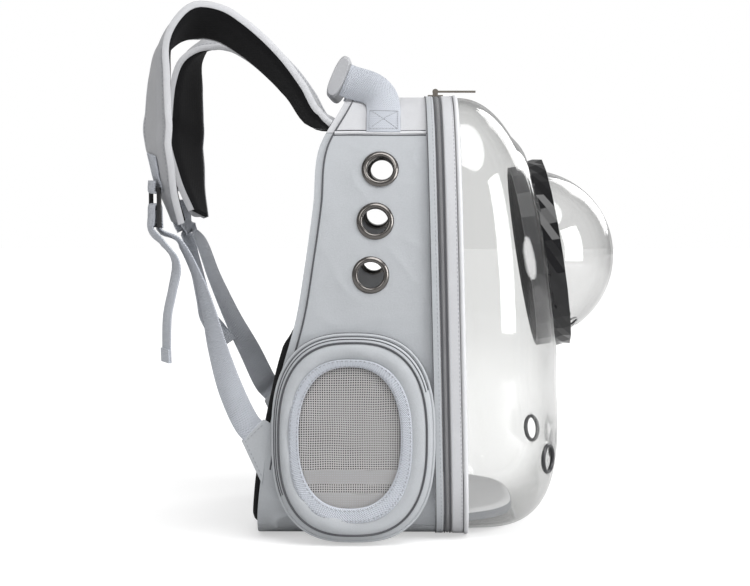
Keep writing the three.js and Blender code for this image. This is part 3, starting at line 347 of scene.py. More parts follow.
def clear_sheet(name, tint, gloss):
    """A thin clear wall: what is behind it shows, under a gloss that grows at a glancing view."""
    made = bpy.data.materials.new(name)
    made.use_nodes = True
    tree = made.node_tree
    tree.nodes.clear()
    output = tree.nodes.new("ShaderNodeOutputMaterial")
    film = tree.nodes.new("ShaderNodeBsdfTransparent")
    film.inputs["Color"].default_value = (*tint, 1)
    shine = tree.nodes.new("ShaderNodeBsdfGlossy")
    shine.inputs["Color"].default_value = (1, 1, 1, 1)
    shine.inputs["Roughness"].default_value = 0.04
    ripple = tree.nodes.new("ShaderNodeTexNoise")
    place = tree.nodes.new("ShaderNodeTexCoord")
    tree.links.new(place.outputs["Object"], ripple.inputs["Vector"])
    ripple.inputs["Scale"].default_value = 14
    bump = tree.nodes.new("ShaderNodeBump")
    bump.inputs["Distance"].default_value = 0.0012
    bump.inputs["Strength"].default_value = 0.35
    tree.links.new(ripple.outputs["Fac"], bump.inputs["Height"])
    tree.links.new(bump.outputs["Normal"], shine.inputs["Normal"])
    facing = tree.nodes.new("ShaderNodeLayerWeight")
    facing.inputs["Blend"].default_value = 0.5
    tree.links.new(bump.outputs["Normal"], facing.inputs["Normal"])
    power = tree.nodes.new("ShaderNodeMath")
    power.operation = "POWER"
    power.inputs[1].default_value = 4.0
    tree.links.new(facing.outputs["Facing"], power.inputs[0])
    share = tree.nodes.new("ShaderNodeMath")
    share.operation = "MULTIPLY_ADD"
    share.inputs[1].default_value = 1 - gloss
    share.inputs[2].default_value = gloss
    tree.links.new(power.outputs[0], share.inputs[0])
    mix = tree.nodes.new("ShaderNodeMixShader")
    tree.links.new(share.outputs[0], mix.inputs["Fac"])
    tree.links.new(film.outputs["BSDF"], mix.inputs[1])
    tree.links.new(shine.outputs["BSDF"], mix.inputs[2])
    tree.links.new(mix.outputs["Shader"], output.inputs["Surface"])
    return made


CASE_CLOTH = cloth("case_cloth", (0.45, 0.468, 0.49), 1.1, 0.0002)
PALE_CLOTH = cloth("pale_cloth", (0.56, 0.565, 0.585), 1.1, 0.0002)
STRAP_CLOTH = cloth("strap_cloth", (0.41, 0.415, 0.432), 1.0, 0.00015, 0.6)
LINING_CLOTH = cloth("lining_cloth", (0.2, 0.203, 0.21), 1.0, 0.00015)
WEBBING = ribbed("webbing", (0.53, 0.557, 0.61), 2.3, 0.0003, 0.8, 0.9)
ZIP_TAPE = ribbed("zip_tape", (0.33, 0.33, 0.345), 1.4, 0.0003)
PIPING_CLOTH = cloth("piping_cloth", (0.66, 0.665, 0.685), 1.0, 0.00012)
# Dark piping and seam lines. The same material also paints the contact shadow at the foot of each window pocket.
DARK_PIPING_AND_SHADOW = cloth("dark_piping_and_shadow", (0.075, 0.077, 0.085), 0.8, 0.0001)
THREAD = cloth("thread", (0.33, 0.34, 0.37), 0.4, 0.0001)
NET_CLOTH = cloth("net_cloth", (0.5, 0.49, 0.49), 0.3, 0.00005)
BLACK_MESH = air_mesh("black_mesh", (0.0045, 0.0045, 0.005), 1.9, 0.0005)
# Painted shade: the dark mesh sheet behind each window's net stands in for the shaded inside of the case.
INNER_SHADE_MESH = air_mesh("inner_mesh", (0.008, 0.008, 0.0085), 1.4, 0.0003)
MAT_CLOTH = cloth("mat_cloth", (0.76, 0.76, 0.77), 1.6, 0.0006, 0.95)
MAT_BORDER = cloth("mat_border", (0.27, 0.28, 0.30), 0.9, 0.0002)
COLLAR_BLACK = moulded("collar_black", (0.004, 0.004, 0.005), 0.05, 200, 0.00001, Specular_IOR_Level=0.5)
SMOKED = moulded("smoked_plastic", (0.035, 0.035, 0.038), 0.3, 500, 0.0001)
BUCKLE_BLACK = moulded("buckle_black", (0.010, 0.010, 0.011), 0.32, 900, 0.00006)
GUNMETAL = moulded("gunmetal", (0.17, 0.16, 0.152), 0.2, 300, 0.00002, metallic=1.0)
NICKEL = moulded("nickel", (0.40, 0.36, 0.32), 0.25, 300, 0.00002, metallic=1.0)
CLEAR = clear_sheet("clear_sheet", (0.936, 0.937, 0.934), 0.05)
CLEAR_DOME = clear_sheet("clear_dome", (0.938, 0.938, 0.936), 0.06)


# Bands behind the net: name, low, high, how far behind, material.
SILL_BANDS = (
    ("upper", 58.7, 71.6, 0, PALE_CLOTH),
    ("lower", 36.5, 49.6, 0, PALE_CLOTH),
)


# Mesh helpers.


def link(name, mesh, body="root"):
    made = bpy.data.objects.new(name, mesh)
    bpy.context.scene.collection.objects.link(made)
    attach(made, body)
    return made


def build(name, points, faces, material, uvs=None, sharp=40, body="root"):
    """A mesh object from points in millimetres. uvs holds one pair in millimetres for each face corner."""
    mesh = bpy.data.meshes.new(name)
    mesh.from_pydata((np.asarray(points, float) * MM).tolist(), [], faces)
    if uvs is not None:
        layer = mesh.uv_layers.new(name="strip")
        layer.data.foreach_set("uv", np.asarray(uvs, float).ravel())
    work = bmesh.new()
    work.from_mesh(mesh)
    bmesh.ops.recalc_face_normals(work, faces=work.faces)
    work.to_mesh(mesh)
    work.free()
    mesh.shade_smooth()
    mesh.set_sharp_from_angle(angle=math.radians(sharp))
    mesh.materials.append(material)
    return link(name, mesh, body)


def sweep(name, rows, material, ring=False, sharp=40, body="root", caps=True):
    """A solid through closed sections. Its map runs across each section and along the rows."""
    rows = np.asarray(rows, float)
    count, across = rows.shape[:2]
    spans = count if ring else count - 1
    steps = np.linalg.norm(rows - np.roll(rows, 1, axis=0), axis=2).mean(axis=1)
    along = np.concatenate([np.cumsum(np.roll(steps, -1))])
    along = np.concatenate([[0.0], along])
    sides = np.linalg.norm(np.roll(rows, -1, axis=1) - rows, axis=2).mean(axis=0)
    around = np.concatenate([[0.0], np.cumsum(sides)])
    faces = []
    uvs = []
    for i in range(spans):
        after = (i + 1) % count
        for j in range(across):
            side = (j + 1) % across
            faces.append((i * across + j, i * across + side, after * across + side, after * across + j))
            uvs += [
                (around[j], along[i]),
                (around[j + 1], along[i]),
                (around[j + 1], along[i + 1]),
                (around[j], along[i + 1]),
            ]
    if not ring and caps:
        for first in (0, (count - 1) * across):
            faces.append(tuple(range(first, first + across)))
            uvs += [(around[j], 0) for j in range(across)]
    return build(name, rows.reshape(-1, 3), faces, material, uvs, sharp, body)


def carve(piece, cutters):
    """Cuts the cutters out of a piece and removes them."""
    for cutter in cutters:
        tool = piece.modifiers.new("cut", "BOOLEAN")
        tool.operation = "DIFFERENCE"
        tool.object = cutter
        tool.solver = "EXACT"
    settle(piece)
    for cutter in cutters:
        bpy.data.objects.remove(cutter)


def settle(piece):
    """Applies a piece's modifiers."""
    bpy.context.view_layer.update()
    graph = bpy.context.evaluated_depsgraph_get()
    mesh = bpy.data.meshes.new_from_object(piece.evaluated_get(graph))
    piece.modifiers.clear()
    piece.data = mesh


def cylinder(centre, axis, radius, half, count=48):
    """A cutter: a plain closed cylinder."""
    turn = Vector((0, 0, 1)).rotation_difference(axis)
    rows = []
    for along in (-half, half):
        row = []
        for i in range(count):
            angle = 2 * math.pi * i / count
            spot = Vector((radius * math.cos(angle), radius * math.sin(angle), along))
            row.append(tuple(turn @ spot + Vector(centre)))
        rows.append(row)
    return sweep("cutter", rows, BUCKLE_BLACK)


def turned(name, profile, centre, axis, material, count=64, body="root", sharp=40):
    """A ring turned from a closed profile of (radius, along) pairs."""
    turn = Vector((0, 0, 1)).rotation_difference(Vector(axis))
    rows = []
    for i in range(count):
        angle = 2 * math.pi * i / count
        row = []
        for radius, along in profile:
            spot = Vector((radius * math.cos(angle), radius * math.sin(angle), along))
            row.append(tuple(turn @ spot + Vector(centre)))
        rows.append(row)
    return sweep(name, rows, material, ring=True, sharp=sharp, body=body)


def stitches(name, places, lifts, material, pitch=4.2, long=2.7, radius=0.38, closed=False):
    """Raised stitches along a line of places, standing along the lifts."""
    places = np.asarray(places, float)
    lifts = np.asarray(lifts, float)
    if closed:
        places = np.vstack([places, places[:1]])
        lifts = np.vstack([lifts, lifts[:1]])
    steps = np.linalg.norm(np.diff(places, axis=0), axis=1)
    along = np.concatenate([[0.0], np.cumsum(steps)])
    count = max(int(along[-1] / pitch), 1)
    points = []
    faces = []
    for k in range(count):
        middle = (k + 0.5) * along[-1] / count
        ends = []
        for share in (-0.5, -0.32, 0, 0.32, 0.5):
            at = middle + share * long
            spot = Vector([np.interp(at, along, places[:, axis]) for axis in range(3)])
            lift = Vector([np.interp(at, along, lifts[:, axis]) for axis in range(3)]).normalized()
            ends.append((spot, lift, share))
        way = (ends[-1][0] - ends[0][0]).normalized()
        for spot, lift, share in ends:
            side = way.cross(lift)
            size = radius * (0.35 if abs(share) == 0.5 else 0.85 if share else 1)
            base = spot + lift * radius * (0.0 if abs(share) == 0.5 else 0.35)
            for turn in range(5):
                angle = 2 * math.pi * turn / 5
                points.append(tuple(base + side * size * math.cos(angle) + lift * size * math.sin(angle)))
        first = k * 25
        for ring in range(4):
            for turn in range(5):
                a = first + ring * 5 + turn
                b = first + ring * 5 + (turn + 1) % 5
                faces.append((a, b, b + 5, a + 5))
        faces.append(tuple(first + turn for turn in range(5)))
        faces.append(tuple(first + 20 + turn for turn in range(5)))
    return build(name, points, faces, material, sharp=80)


def line_bead(name, places, lifts, radius, material, closed=False):
    """A thin round bead along a line of places, which lies across the lifts."""
    rows = []
    count = len(places)
    for k in range(count):
        before = places[k - 1] if closed or k else places[0]
        after = places[(k + 1) % count] if closed else places[min(k + 1, count - 1)]
        way = (Vector(after) - Vector(before)).normalized()
        lift = Vector(lifts[k]).normalized()
        side = way.cross(lift).normalized()
        row = []
        for step in range(6):
            turn = math.pi * step / 3
            row.append(tuple(Vector(places[k]) + (side * math.cos(turn) + lift * math.sin(turn)) * radius))
        rows.append(row)
    made = sweep(name, rows, material, ring=closed)
    return made


def soft(spot, scale, seed=0):
    return noise.noise(Vector(spot) / scale + Vector((seed * 7.3, seed * 3.1, seed * 5.7)))


def smooth(value, low, high):
    share = min(max((value - low) / (high - low), 0), 1)
    return share * share * (3 - 2 * share)


# Shape of the case.


def front_plane(z):
    return FRONT + z * LEAN


def back_edge(z):
    place = min(max(z / HEIGHT, 0), 1) * (len(DEPTH_SHARES) - 1)
    row = min(int(place), len(DEPTH_SHARES) - 2)
    t = place - row
    around = [DEPTH_SHARES[min(max(row + k, 0), len(DEPTH_SHARES) - 1)] for k in (-1, 0, 1, 2)]
    rise = [(around[2] - around[0]) / 2, (around[3] - around[1]) / 2]
    share = (
        around[1] * (2 * t**3 - 3 * t**2 + 1)
        + rise[0] * (t**3 - 2 * t**2 + t)
        + around[2] * (3 * t**2 - 2 * t**3)
        + rise[1] * (t**3 - t**2)
    )
    return front_plane(z) + share * DEPTH


def seam_line(z):
    return front_plane(z) + SEAM_BACK


def outline_at(angle, wide, top, bottom):
    across = math.cos(angle)
    rise = math.sin(angle)
    power = CROWN_POWER if rise >= 0 else BASE_POWER
    reach = top - BELT if rise >= 0 else BELT - bottom
    x = math.copysign(wide * abs(across) ** (2 / power), across)
    z = BELT + math.copysign(reach * abs(rise) ** (2 / power), rise)
    return x, z


def spread(count, first=-math.pi / 2, last=1.5 * math.pi, wide=HALF, top=HEIGHT, bottom=-SAG):
    """Angles along the outline, closer together where it turns. A whole turn leaves out its end."""
    fine = 2400
    angles = np.linspace(first, last, fine + 1)
    spots = np.array([outline_at(angle, wide, top, bottom) for angle in angles])
    steps = np.diff(spots, axis=0)
    lengths = np.linalg.norm(steps, axis=1)
    ways = np.unwrap(np.arctan2(steps[:, 1], steps[:, 0]))
    bends = np.abs(np.diff(ways, append=ways[-1]))
    measure = np.concatenate([[0.0], np.cumsum(lengths + bends * 60)])
    whole = last - first > 6.2
    goals = np.linspace(0, measure[-1], count + 1)[:-1] if whole else np.linspace(0, measure[-1], count)
    return np.interp(goals, measure, angles)


def outline(angles, wide, top, bottom, offset=0.0, floor=None):
    """Points and outward ways of the outline at those angles, moved outwards by offset."""
    step = 0.002
    spots = []
    ways = []
    for angle in angles:
        x, z = outline_at(angle, wide, top, bottom)
        before = outline_at(angle - step, wide, top, bottom)
        after = outline_at(angle + step, wide, top, bottom)
        way = Vector((after[1] - before[1], before[0] - after[0])).normalized()
        x += way.x * offset
        z += way.y * offset
        spots.append((x, z if floor is None else max(z, floor)))
        ways.append((way.x, way.y))
    return np.array(spots), np.array(ways)


def panel_angle(z):
    reach = PANEL_TOP - BELT if z >= BELT else BELT + SAG
    power = CROWN_POWER if z >= BELT else BASE_POWER
    return math.copysign(math.asin(min(abs(z - BELT) / reach, 1) ** (power / 2)), z - BELT)


def half_width(z, inset=0.0):
    reach = PANEL_TOP - BELT if z >= BELT else BELT + SAG
    power = CROWN_POWER if z >= BELT else BASE_POWER
    share = min(abs(z - BELT) / reach, 1)
    return PANEL_HALF * (1 - share**power) ** (1 / power) - inset


def outward(z):
    """The side panel's outward way at a height, on the +X side, as (x, z)."""
    slope = (half_width(z + 0.5) - half_width(z - 0.5)) / 1.0
    way = Vector((1, -slope)).normalized()
    return way.x, way.y


def case_panel(name, angles, material, node, press=None, thick=PANEL_WALL, fine=44):
    """A cloth panel of the case from the front seam to the back edge. press gives its relief."""
    spots, ways = outline(angles, PANEL_HALF, PANEL_TOP, -SAG)
    rows = []
    for (x, z), (out_x, out_z) in zip(spots, ways):
        outer = []
        inner = []
        z = max(z, 0)
        for k in range(fine + 1):
            share = k / fine
            y = seam_line(z) + share * (back_edge(z) - seam_line(z))
            rise = press(x, y, z, share) if press else 0
            outer.append((x + out_x * rise, y, max(z + out_z * rise, 0)))
            inner.append((x - out_x * thick, y, max(z - out_z * thick, 3)))
        rows.append(outer + inner[::-1])
    made = sweep(name, rows, material)
    line_inside(made)
    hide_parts(node)
    return made


def line_inside(piece):
    """Gives the faces that look into the case the darker lining."""
    mesh = piece.data
    mesh.materials.append(LINING_CLOTH)
    middle = Vector((0, 0, BELT * MM))
    for face in mesh.polygons:
        away = face.center - middle
        away.y = 0
        if abs(face.normal.y) < 0.6 and face.normal.dot(away) < 0:
            face.material_index = 1


def side_relief(seed):
    """Wrinkles of a side panel: slow waves, creases at the window pocket and puckers at the seams."""

    def press(x, y, z, share):
        spot = (0, y, z)
        waves = soft(spot, 75, seed) * 1.1 + soft(spot, 28, seed + 1) * 0.35
        creases = (1 - abs(soft((0, y * 0.55 + z * 0.3, z * 0.8 - y * 0.5), 30, seed + 2))) ** 6
        low = smooth(z, 150, 20) * smooth(y, 20, 80)
        pucker = math.sin(z * 0.9 + 2 * soft(spot, 20, seed)) * 0.16
        pucker *= smooth(share, 0.12, 0) + smooth(share, 0.86, 1)
        fade = smooth(share, 0, 0.05) * smooth(share, 1, 0.86) * smooth(z, TOP_SEAM, TOP_SEAM - 18)
        return fade * (waves * (0.7 + 2.2 * low) + creases * (0.5 + 3.2 * low)) + pucker

    return press


def eyelet_seat(row, side):
    up, back = EYELETS[row]
    z = up * HEIGHT
    out_x, out_z = outward(z)
    centre = Vector((side * half_width(z), back * DEPTH, z))
    return centre, Vector((side * out_x, 0, out_z))


def loop_spot(shape, angle, x, grow=0.0):
    along = math.copysign(abs(math.cos(angle)) ** (2 / shape["power"]), math.cos(angle))
    rise = math.copysign(abs(math.sin(angle)) ** (2 / shape["power"]), math.sin(angle))
    y = shape["y"] + (shape["wide"] + grow) * along
    z = shape["z"] + (shape["high"] + grow) * rise
    return Vector((x(z) if callable(x) else x, y, z))


def loop_angles(shape, count):
    """Angles spread evenly by length round a window outline."""
    angles = np.linspace(0, 2 * math.pi, 2001)
    spots = np.array([loop_spot(shape, angle, 0) for angle in angles])
    along = np.concatenate([[0.0], np.cumsum(np.linalg.norm(np.diff(spots, axis=0), axis=1))])
    return np.interp(np.linspace(0, along[-1], count + 1)[:-1], along, angles)


def build_case():
    side_angles = spread(150, panel_angle(BASE_SEAM + 0.2), panel_angle(TOP_SEAM - 0.2), PANEL_HALF, PANEL_TOP)
    top_angle = panel_angle(TOP_SEAM + 0.2)
    top_angles = spread(110, top_angle, math.pi - top_angle, PANEL_HALF, PANEL_TOP)
    base_angle = panel_angle(BASE_SEAM - 0.2)
    base_angles = spread(60, -math.pi - base_angle, base_angle, PANEL_HALF, PANEL_TOP)

    def top_relief(x, y, z, share):
        fade = smooth(share, 0, 0.08) * smooth(share, 1, 0.92)
        return fade * (soft((x, y, z), 60, 4) * 1.0 + soft((x, y, z), 22, 5) * 0.25)

    case_panel("top_cloth", top_angles, PALE_CLOTH, "top_panel", top_relief)
    case_panel("base_cloth", base_angles, CASE_CLOTH, "base_panel", fine=12)
    for side, sign in (("left", -1), ("right", 1)):
        angles = side_angles if sign > 0 else math.pi - side_angles
        panel = case_panel(f"side_cloth_{side}", angles, CASE_CLOTH, f"side_panel_{side}", side_relief(3 + sign), fine=90)
        cutters = []
        for row in EYELETS:
            centre, axis = eyelet_seat(row, sign)
            cutters.append(cylinder(centre, axis, EYELET_HOLE + 1.6, 15))
        loop = loop_angles(OPENING, 64)
        rows = [[tuple(loop_spot(OPENING, angle, sign * x, 3)) for angle in loop] for x in (75, 165)]
        cutters.append(sweep("cutter", rows, BUCKLE_BLACK))
        carve(panel, cutters)
        build_top_seam(side, sign)
    angle = panel_angle(REAR_PIPING_FROM)
    spots, ways = outline(spread(220, angle, math.pi - angle, PANEL_HALF, PANEL_TOP), PANEL_HALF, PANEL_TOP, -SAG, 0.5)
    places = [(x, back_edge(z) - BACK_BORDER, z) for x, z in spots]
    line_bead("rear_piping", places, [(x, 0, z) for x, z in ways], 0.85, DARK_PIPING_AND_SHADOW)


def build_top_seam(side, sign):
    """The corded seam between a side panel and the top, with a dark line each side of it."""
    for name, rise, radius, material in (
        ("cord", 0, 1.5, PIPING_CLOTH),
        ("line_upper", 2.2, 0.42, DARK_PIPING_AND_SHADOW),
        ("line_lower", -2.2, 0.42, DARK_PIPING_AND_SHADOW),
    ):
        z = TOP_SEAM + rise
        out_x, out_z = outward(z)
        x = half_width(z) + 0.35
        ends = np.linspace(seam_line(z) + 1, back_edge(z) - BACK_BORDER - 0.5, 40)
        places = [(sign * x, y, z + soft((y, 0, 0), 30, 61) * 0.5) for y in ends]
        lifts = [(sign * out_x, 0, out_z)] * len(places)
        line_bead(f"top_seam_{name}_{side}", places, lifts, radius, material)


def build_back():
    """The back wall inside the case, and its two black mesh pads with sewn channels."""
    rows = []
    for z in np.linspace(3.5, 414.5, 80):
        x = half_width(z, 3.3)
        wall = back_edge(z) - PAD_THICK
        xs = np.linspace(-x, x, 30)
        face = [(u, wall - 1.2 * (1 - (u / x) ** 2) * smooth(z, 0, 40) * smooth(z, 420, 380), z) for u in xs]
        rows.append(face + [(u, y - 4.5, w) for u, y, w in face[::-1]])
    wall = sweep("back_wall_cloth", rows, LINING_CLOTH)
    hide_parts("back_panel")
    for name, (low, high, proud) in PADS.items():
        rows = []
        for z in np.linspace(low, high, 110):
            x = half_width(z, PAD_INSET)
            ends = min(z - low, high - z)
            face = []
            for u in np.linspace(-1, 1, 90):
                edge = min((1 - abs(u)) * x, ends)
                crown = min(edge / 14, 1)
                full = math.sqrt(max(1 - (1 - crown) ** 2, 0))
                channel = min(abs(abs(u) * x - 42) / 7, 1)
                lift = full * (0.55 + 0.45 * channel**0.6)
                base = back_edge(z) + proud + (PAD_CROWN * lift if proud > 0 else 0)
                face.append((u * x, base - (PAD_THICK + proud) * 0.62 * (1 - lift) + soft((u * x, z, 0), 40, 9) * 0.5, z))
            rows.append(face + [(u, back_edge(z) - PAD_THICK + 0.4, w) for u, y, w in face[::-1]])
        pad = sweep(f"{name}_mesh", rows, BLACK_MESH)
        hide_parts(name)


# Front frame.

RING_ANGLES = spread(320)


def frame_ring(name, profile, material, node, relief=None):
    """A ring of the front frame from (offset, distance behind the front plane) pairs."""
    loops = []
    for offset, _ in profile:
        spots, _ = outline(RING_ANGLES, HALF, HEIGHT, -SAG, offset, max(-offset, 0))
        loops.append(spots)
    rows = []
    for i in range(len(RING_ANGLES)):
        row = []
        for j, (_, behind) in enumerate(profile):
            x, z = loops[j][i]
            row.append((x, front_plane(z) + behind, z))
        rows.append(row)
    made = sweep(name, rows, material, ring=True)
    if node:
        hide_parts(node)
    return made


def rounded(low, high, proud, deep, edge=1.0, fine=6):
    """A strip's section: crowned outside, with rounded edges, and flat inside."""
    profile = []
    for k in range(fine + 1):
        share = k / fine
        turn = math.pi * share
        behind = low + (high - low) * (1 - math.cos(turn)) / 2
        near = min(behind - low, high - behind)
        profile.append((proud * math.sin(turn) - edge * (1 - min(near / edge, 1)) ** 2, behind))
    return profile + [(-deep, high), (-deep, low)]


def ring_line(offset, behind, count=None):
    """Places and lifts along the front frame."""
    spots, ways = outline(RING_ANGLES, HALF, HEIGHT, -SAG, offset, max(-offset, 0))
    places = [(x, front_plane(z) + behind, z) for x, z in spots]
    lifts = [(out_x, 0, out_z) for out_x, out_z in ways]
    return places, lifts


def build_front_frame():
    frame_ring("gusset_cloth", rounded(*GUSSET, 0.2, 3.2, 0.6), CASE_CLOTH, "gusset")
    low, high = ZIP
    middle = (low + high) / 2
    tape = [(-1.6, low - 0.1), (-1.2, low + 1.6), (-0.9, middle - 1.2), (-0.1, middle - 0.9), (0, middle - 0.25)]
    tape += [(-0.6, middle), (0, middle + 0.25), (-0.1, middle + 0.9), (-0.9, middle + 1.2), (-1.2, high - 1.6)]
    tape += [(-1.6, high), (-3, high), (-3, low)]
    frame_ring("zip_cloth", tape, ZIP_TAPE, "zip_track")
    frame_ring("lid_band_cloth", rounded(*BAND, 0.35, 3.2, 0.8, 10), PALE_CLOTH, "lid_band")
    bead = []
    low, high = PIPING
    for k in range(10):
        turn = math.pi * k / 9
        bead.append((-0.6 + 2.0 * math.sin(turn), (low + high) / 2 - math.cos(turn) * (high - low) / 2))
    frame_ring("piping_cord", bead + [(-3.2, high), (-3.2, low)], PIPING_CLOTH, "lid_piping")
    for name, behind, wide in (
        ("zip_line_front", ZIP[0] + 0.9, 1.0),
        ("zip_line_rear", ZIP[1] - 0.9, 1.0),
        ("gusset_line", GUSSET[1] - 0.2, 0.8),
        ("lid_line", BAND[0] + 0.2, 0.5),
    ):
        line = [(0.25, behind - wide / 2), (0.25, behind + wide / 2), (-1.8, behind + wide / 2), (-1.8, behind - wide / 2)]
        frame_ring(name, line, DARK_PIPING_AND_SHADOW, None)
    for name, behind in (("lid_stitches", BAND[0] + 1.6), ("gusset_stitches", GUSSET[0] + 2.2)):
        places, lifts = ring_line(0.05, behind)
        made = stitches(name, places, lifts, THREAD, closed=True)


# Clear front and dome.


def natural_depth(x, z):
    rising = z >= BELT
    power = CROWN_POWER if rising else BASE_POWER
    reach = CLEAR_TOP - BELT if rising else BELT - CLEAR_LIFT
    across = abs(x) / CLEAR_HALF
    rise = abs(z - BELT) / reach
    radial = min((across**power + rise**power) ** (1 / power), 1)
    lean = rise**2 / max(across**2 + rise**2, 1e-9)
    curve = SIDE_CURVE + ((TOP_CURVE if rising else LOW_CURVE) - SIDE_CURVE) * lean
    return BULGE * (1 - radial**curve) ** (1 / curve)


def clear_face(x, z):
    away = math.hypot(x, (z - DOME_SEAT.z) / math.cos(DOME_TILT))
    blend = smooth(away, LAND_RADIUS, LAND_RADIUS + LAND_BLEND)
    land = DOME_SEAT.y + (z - DOME_SEAT.z) * math.tan(DOME_TILT)
    natural = front_plane(z) - 0.3 - natural_depth(x, z)
    return Vector((x, land + (natural - land) * blend, z))


def clear_normal(x, z):
    step = 0.5
    across = clear_face(x + step, z) - clear_face(x - step, z)
    rise = clear_face(x, z + step) - clear_face(x, z - step)
    return across.cross(rise).normalized()


def on_land(radius, heading):
    return DOME_SEAT + Vector((radius * math.cos(heading), 0, 0)) + DOME_UP * (radius * math.sin(heading))


def vent_seat(vent):
    out, up = FRONT_VENTS[vent]
    x = out * HALF
    z = up * HEIGHT
    return clear_face(x, z), clear_normal(x, z)


def build_clear_front():
    angles = spread(200, wide=CLEAR_HALF, top=CLEAR_TOP, bottom=CLEAR_LIFT)
    rim, _ = outline(angles, CLEAR_HALF, CLEAR_TOP, CLEAR_LIFT)
    within, _ = outline(angles, CLEAR_HALF, CLEAR_TOP, CLEAR_LIFT, -CLEAR_WALL)
    rows = []
    fine = 26
    for (x_rim, z_rim), (x_in, z_in) in zip(rim, within):
        heading = math.atan2((z_rim - DOME_SEAT.z) / math.cos(DOME_TILT), x_rim)
        start = on_land(LAND_RADIUS, heading)
        outer = [on_land(HOLE_RADIUS, heading), on_land((HOLE_RADIUS + LAND_RADIUS) / 2, heading), start]
        inner = [spot - DOME_AXIS * CLEAR_WALL for spot in outer]
        for k in range(1, fine):
            share = math.sin(k / fine * math.pi / 2)
            x = start.x + (x_rim - start.x) * share
            z = start.z + (z_rim - start.z) * share
            spot = clear_face(x, z)
            outer.append(spot)
            inner.append(spot - clear_normal(x, z) * CLEAR_WALL)
        outer.append(Vector((x_rim, front_plane(z_rim) - 0.3, z_rim)))
        inner.append(Vector((x_in, front_plane(z_in) - 0.3, z_in)))
        rows.append([tuple(spot) for spot in outer + inner[::-1]])
    made = sweep("clear_lid", rows, CLEAR, ring=True, sharp=50)
    cutters = []
    for vent in FRONT_VENTS:
        centre, axis = vent_seat(vent)
        cutters.append(cylinder(centre, axis, FRONT_VENT_RADIUS + FRONT_VENT_RIM + 0.3, 14))
    carve(made, cutters)
    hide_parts("clear_front")
    for vent in FRONT_VENTS:
        centre, axis = vent_seat(vent)
        profile = []
        for k in range(12):
            turn = 2 * math.pi * k / 12
            profile.append((FRONT_VENT_RADIUS + 1.75 + 1.75 * math.cos(turn), -1.1 + 2.2 * math.sin(turn)))
        ring = turned(f"vent_grommet_{vent}", profile, centre, axis, SMOKED, 56, sharp=60)
        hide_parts(f"vent_ring_{vent}")


def build_dome():
    centre = DOME_SEAT - DOME_AXIS * DOME_CENTRE_BACK
    turn = Vector((0, 0, 1)).rotation_difference(DOME_AXIS)
    rows = []
    count = 112
    fine = 30
    for i in range(count):
        around = 2 * math.pi * i / count
        row = []
        for radius in (DOME_RADIUS, DOME_RADIUS - DOME_WALL):
            last = math.acos((COLLAR_LEDGE + DOME_CENTRE_BACK) / radius)
            arc = []
            for k in range(fine + 1):
                polar = max(last * k / fine, 0.002)
                reach = radius * math.sin(polar)
                spot = Vector((reach * math.cos(around), reach * math.sin(around), radius * math.cos(polar)))
                arc.append(tuple(turn @ spot + centre))
            row += arc if radius == DOME_RADIUS else arc[::-1]
        rows.append(row)
    made = sweep("dome_window", rows, CLEAR_DOME, ring=True, sharp=50)
    cutters = []
    for name, step in (("left", -1), ("middle", 0), ("right", 1)):
        around = step * DOME_VENT["step"]
        polar = DOME_VENT["polar"]
        side = Vector((math.sin(around), 0, 0)) - DOME_UP * math.cos(around)
        way = DOME_AXIS * math.cos(polar) + side * math.sin(polar)
        cutters.append(cylinder(centre + way * DOME_RADIUS, way, DOME_VENT["radius"], 12))
        radius = DOME_VENT["radius"] - 0.2
        profile = [(radius + 0.7 * math.cos(turn), 0.9 * math.sin(turn)) for turn in np.linspace(0, 2 * math.pi, 9)[:-1]]
        rim = turned(f"dome_vent_rim_{name}", profile, centre + way * (DOME_RADIUS - 2.2), way, SMOKED, 40)
    carve(made, cutters)
    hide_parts("dome")


# Eyelets.


def build_eyelets():
    for row in EYELETS:
        for side, sign in (("left", -1), ("right", 1)):
            centre, axis = eyelet_seat(row, sign)
            profile = [(12.0, -5.2), (12.0, 1.0), (12.3, 2.0), (13.0, 2.7), (14.0, 2.9), (15.4, 2.5)]
            profile += [(16.7, 1.6), (17.3, 0.7), (17.1, 0.3), (13.3, 0.3), (13.3, -3.4), (16, -3.4), (16, -4.4)]
            profile += [(14, -5.2)]
            ring = turned(f"eyelet_ring_{row}_{side}", profile, centre, axis, GUNMETAL, 72, sharp=50)
            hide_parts(f"eyelet_{row}_{side}")


# Side windows.


def build_windows():
    for side, sign in (("left", -1), ("right", 1)):
        build_pocket(side, sign)


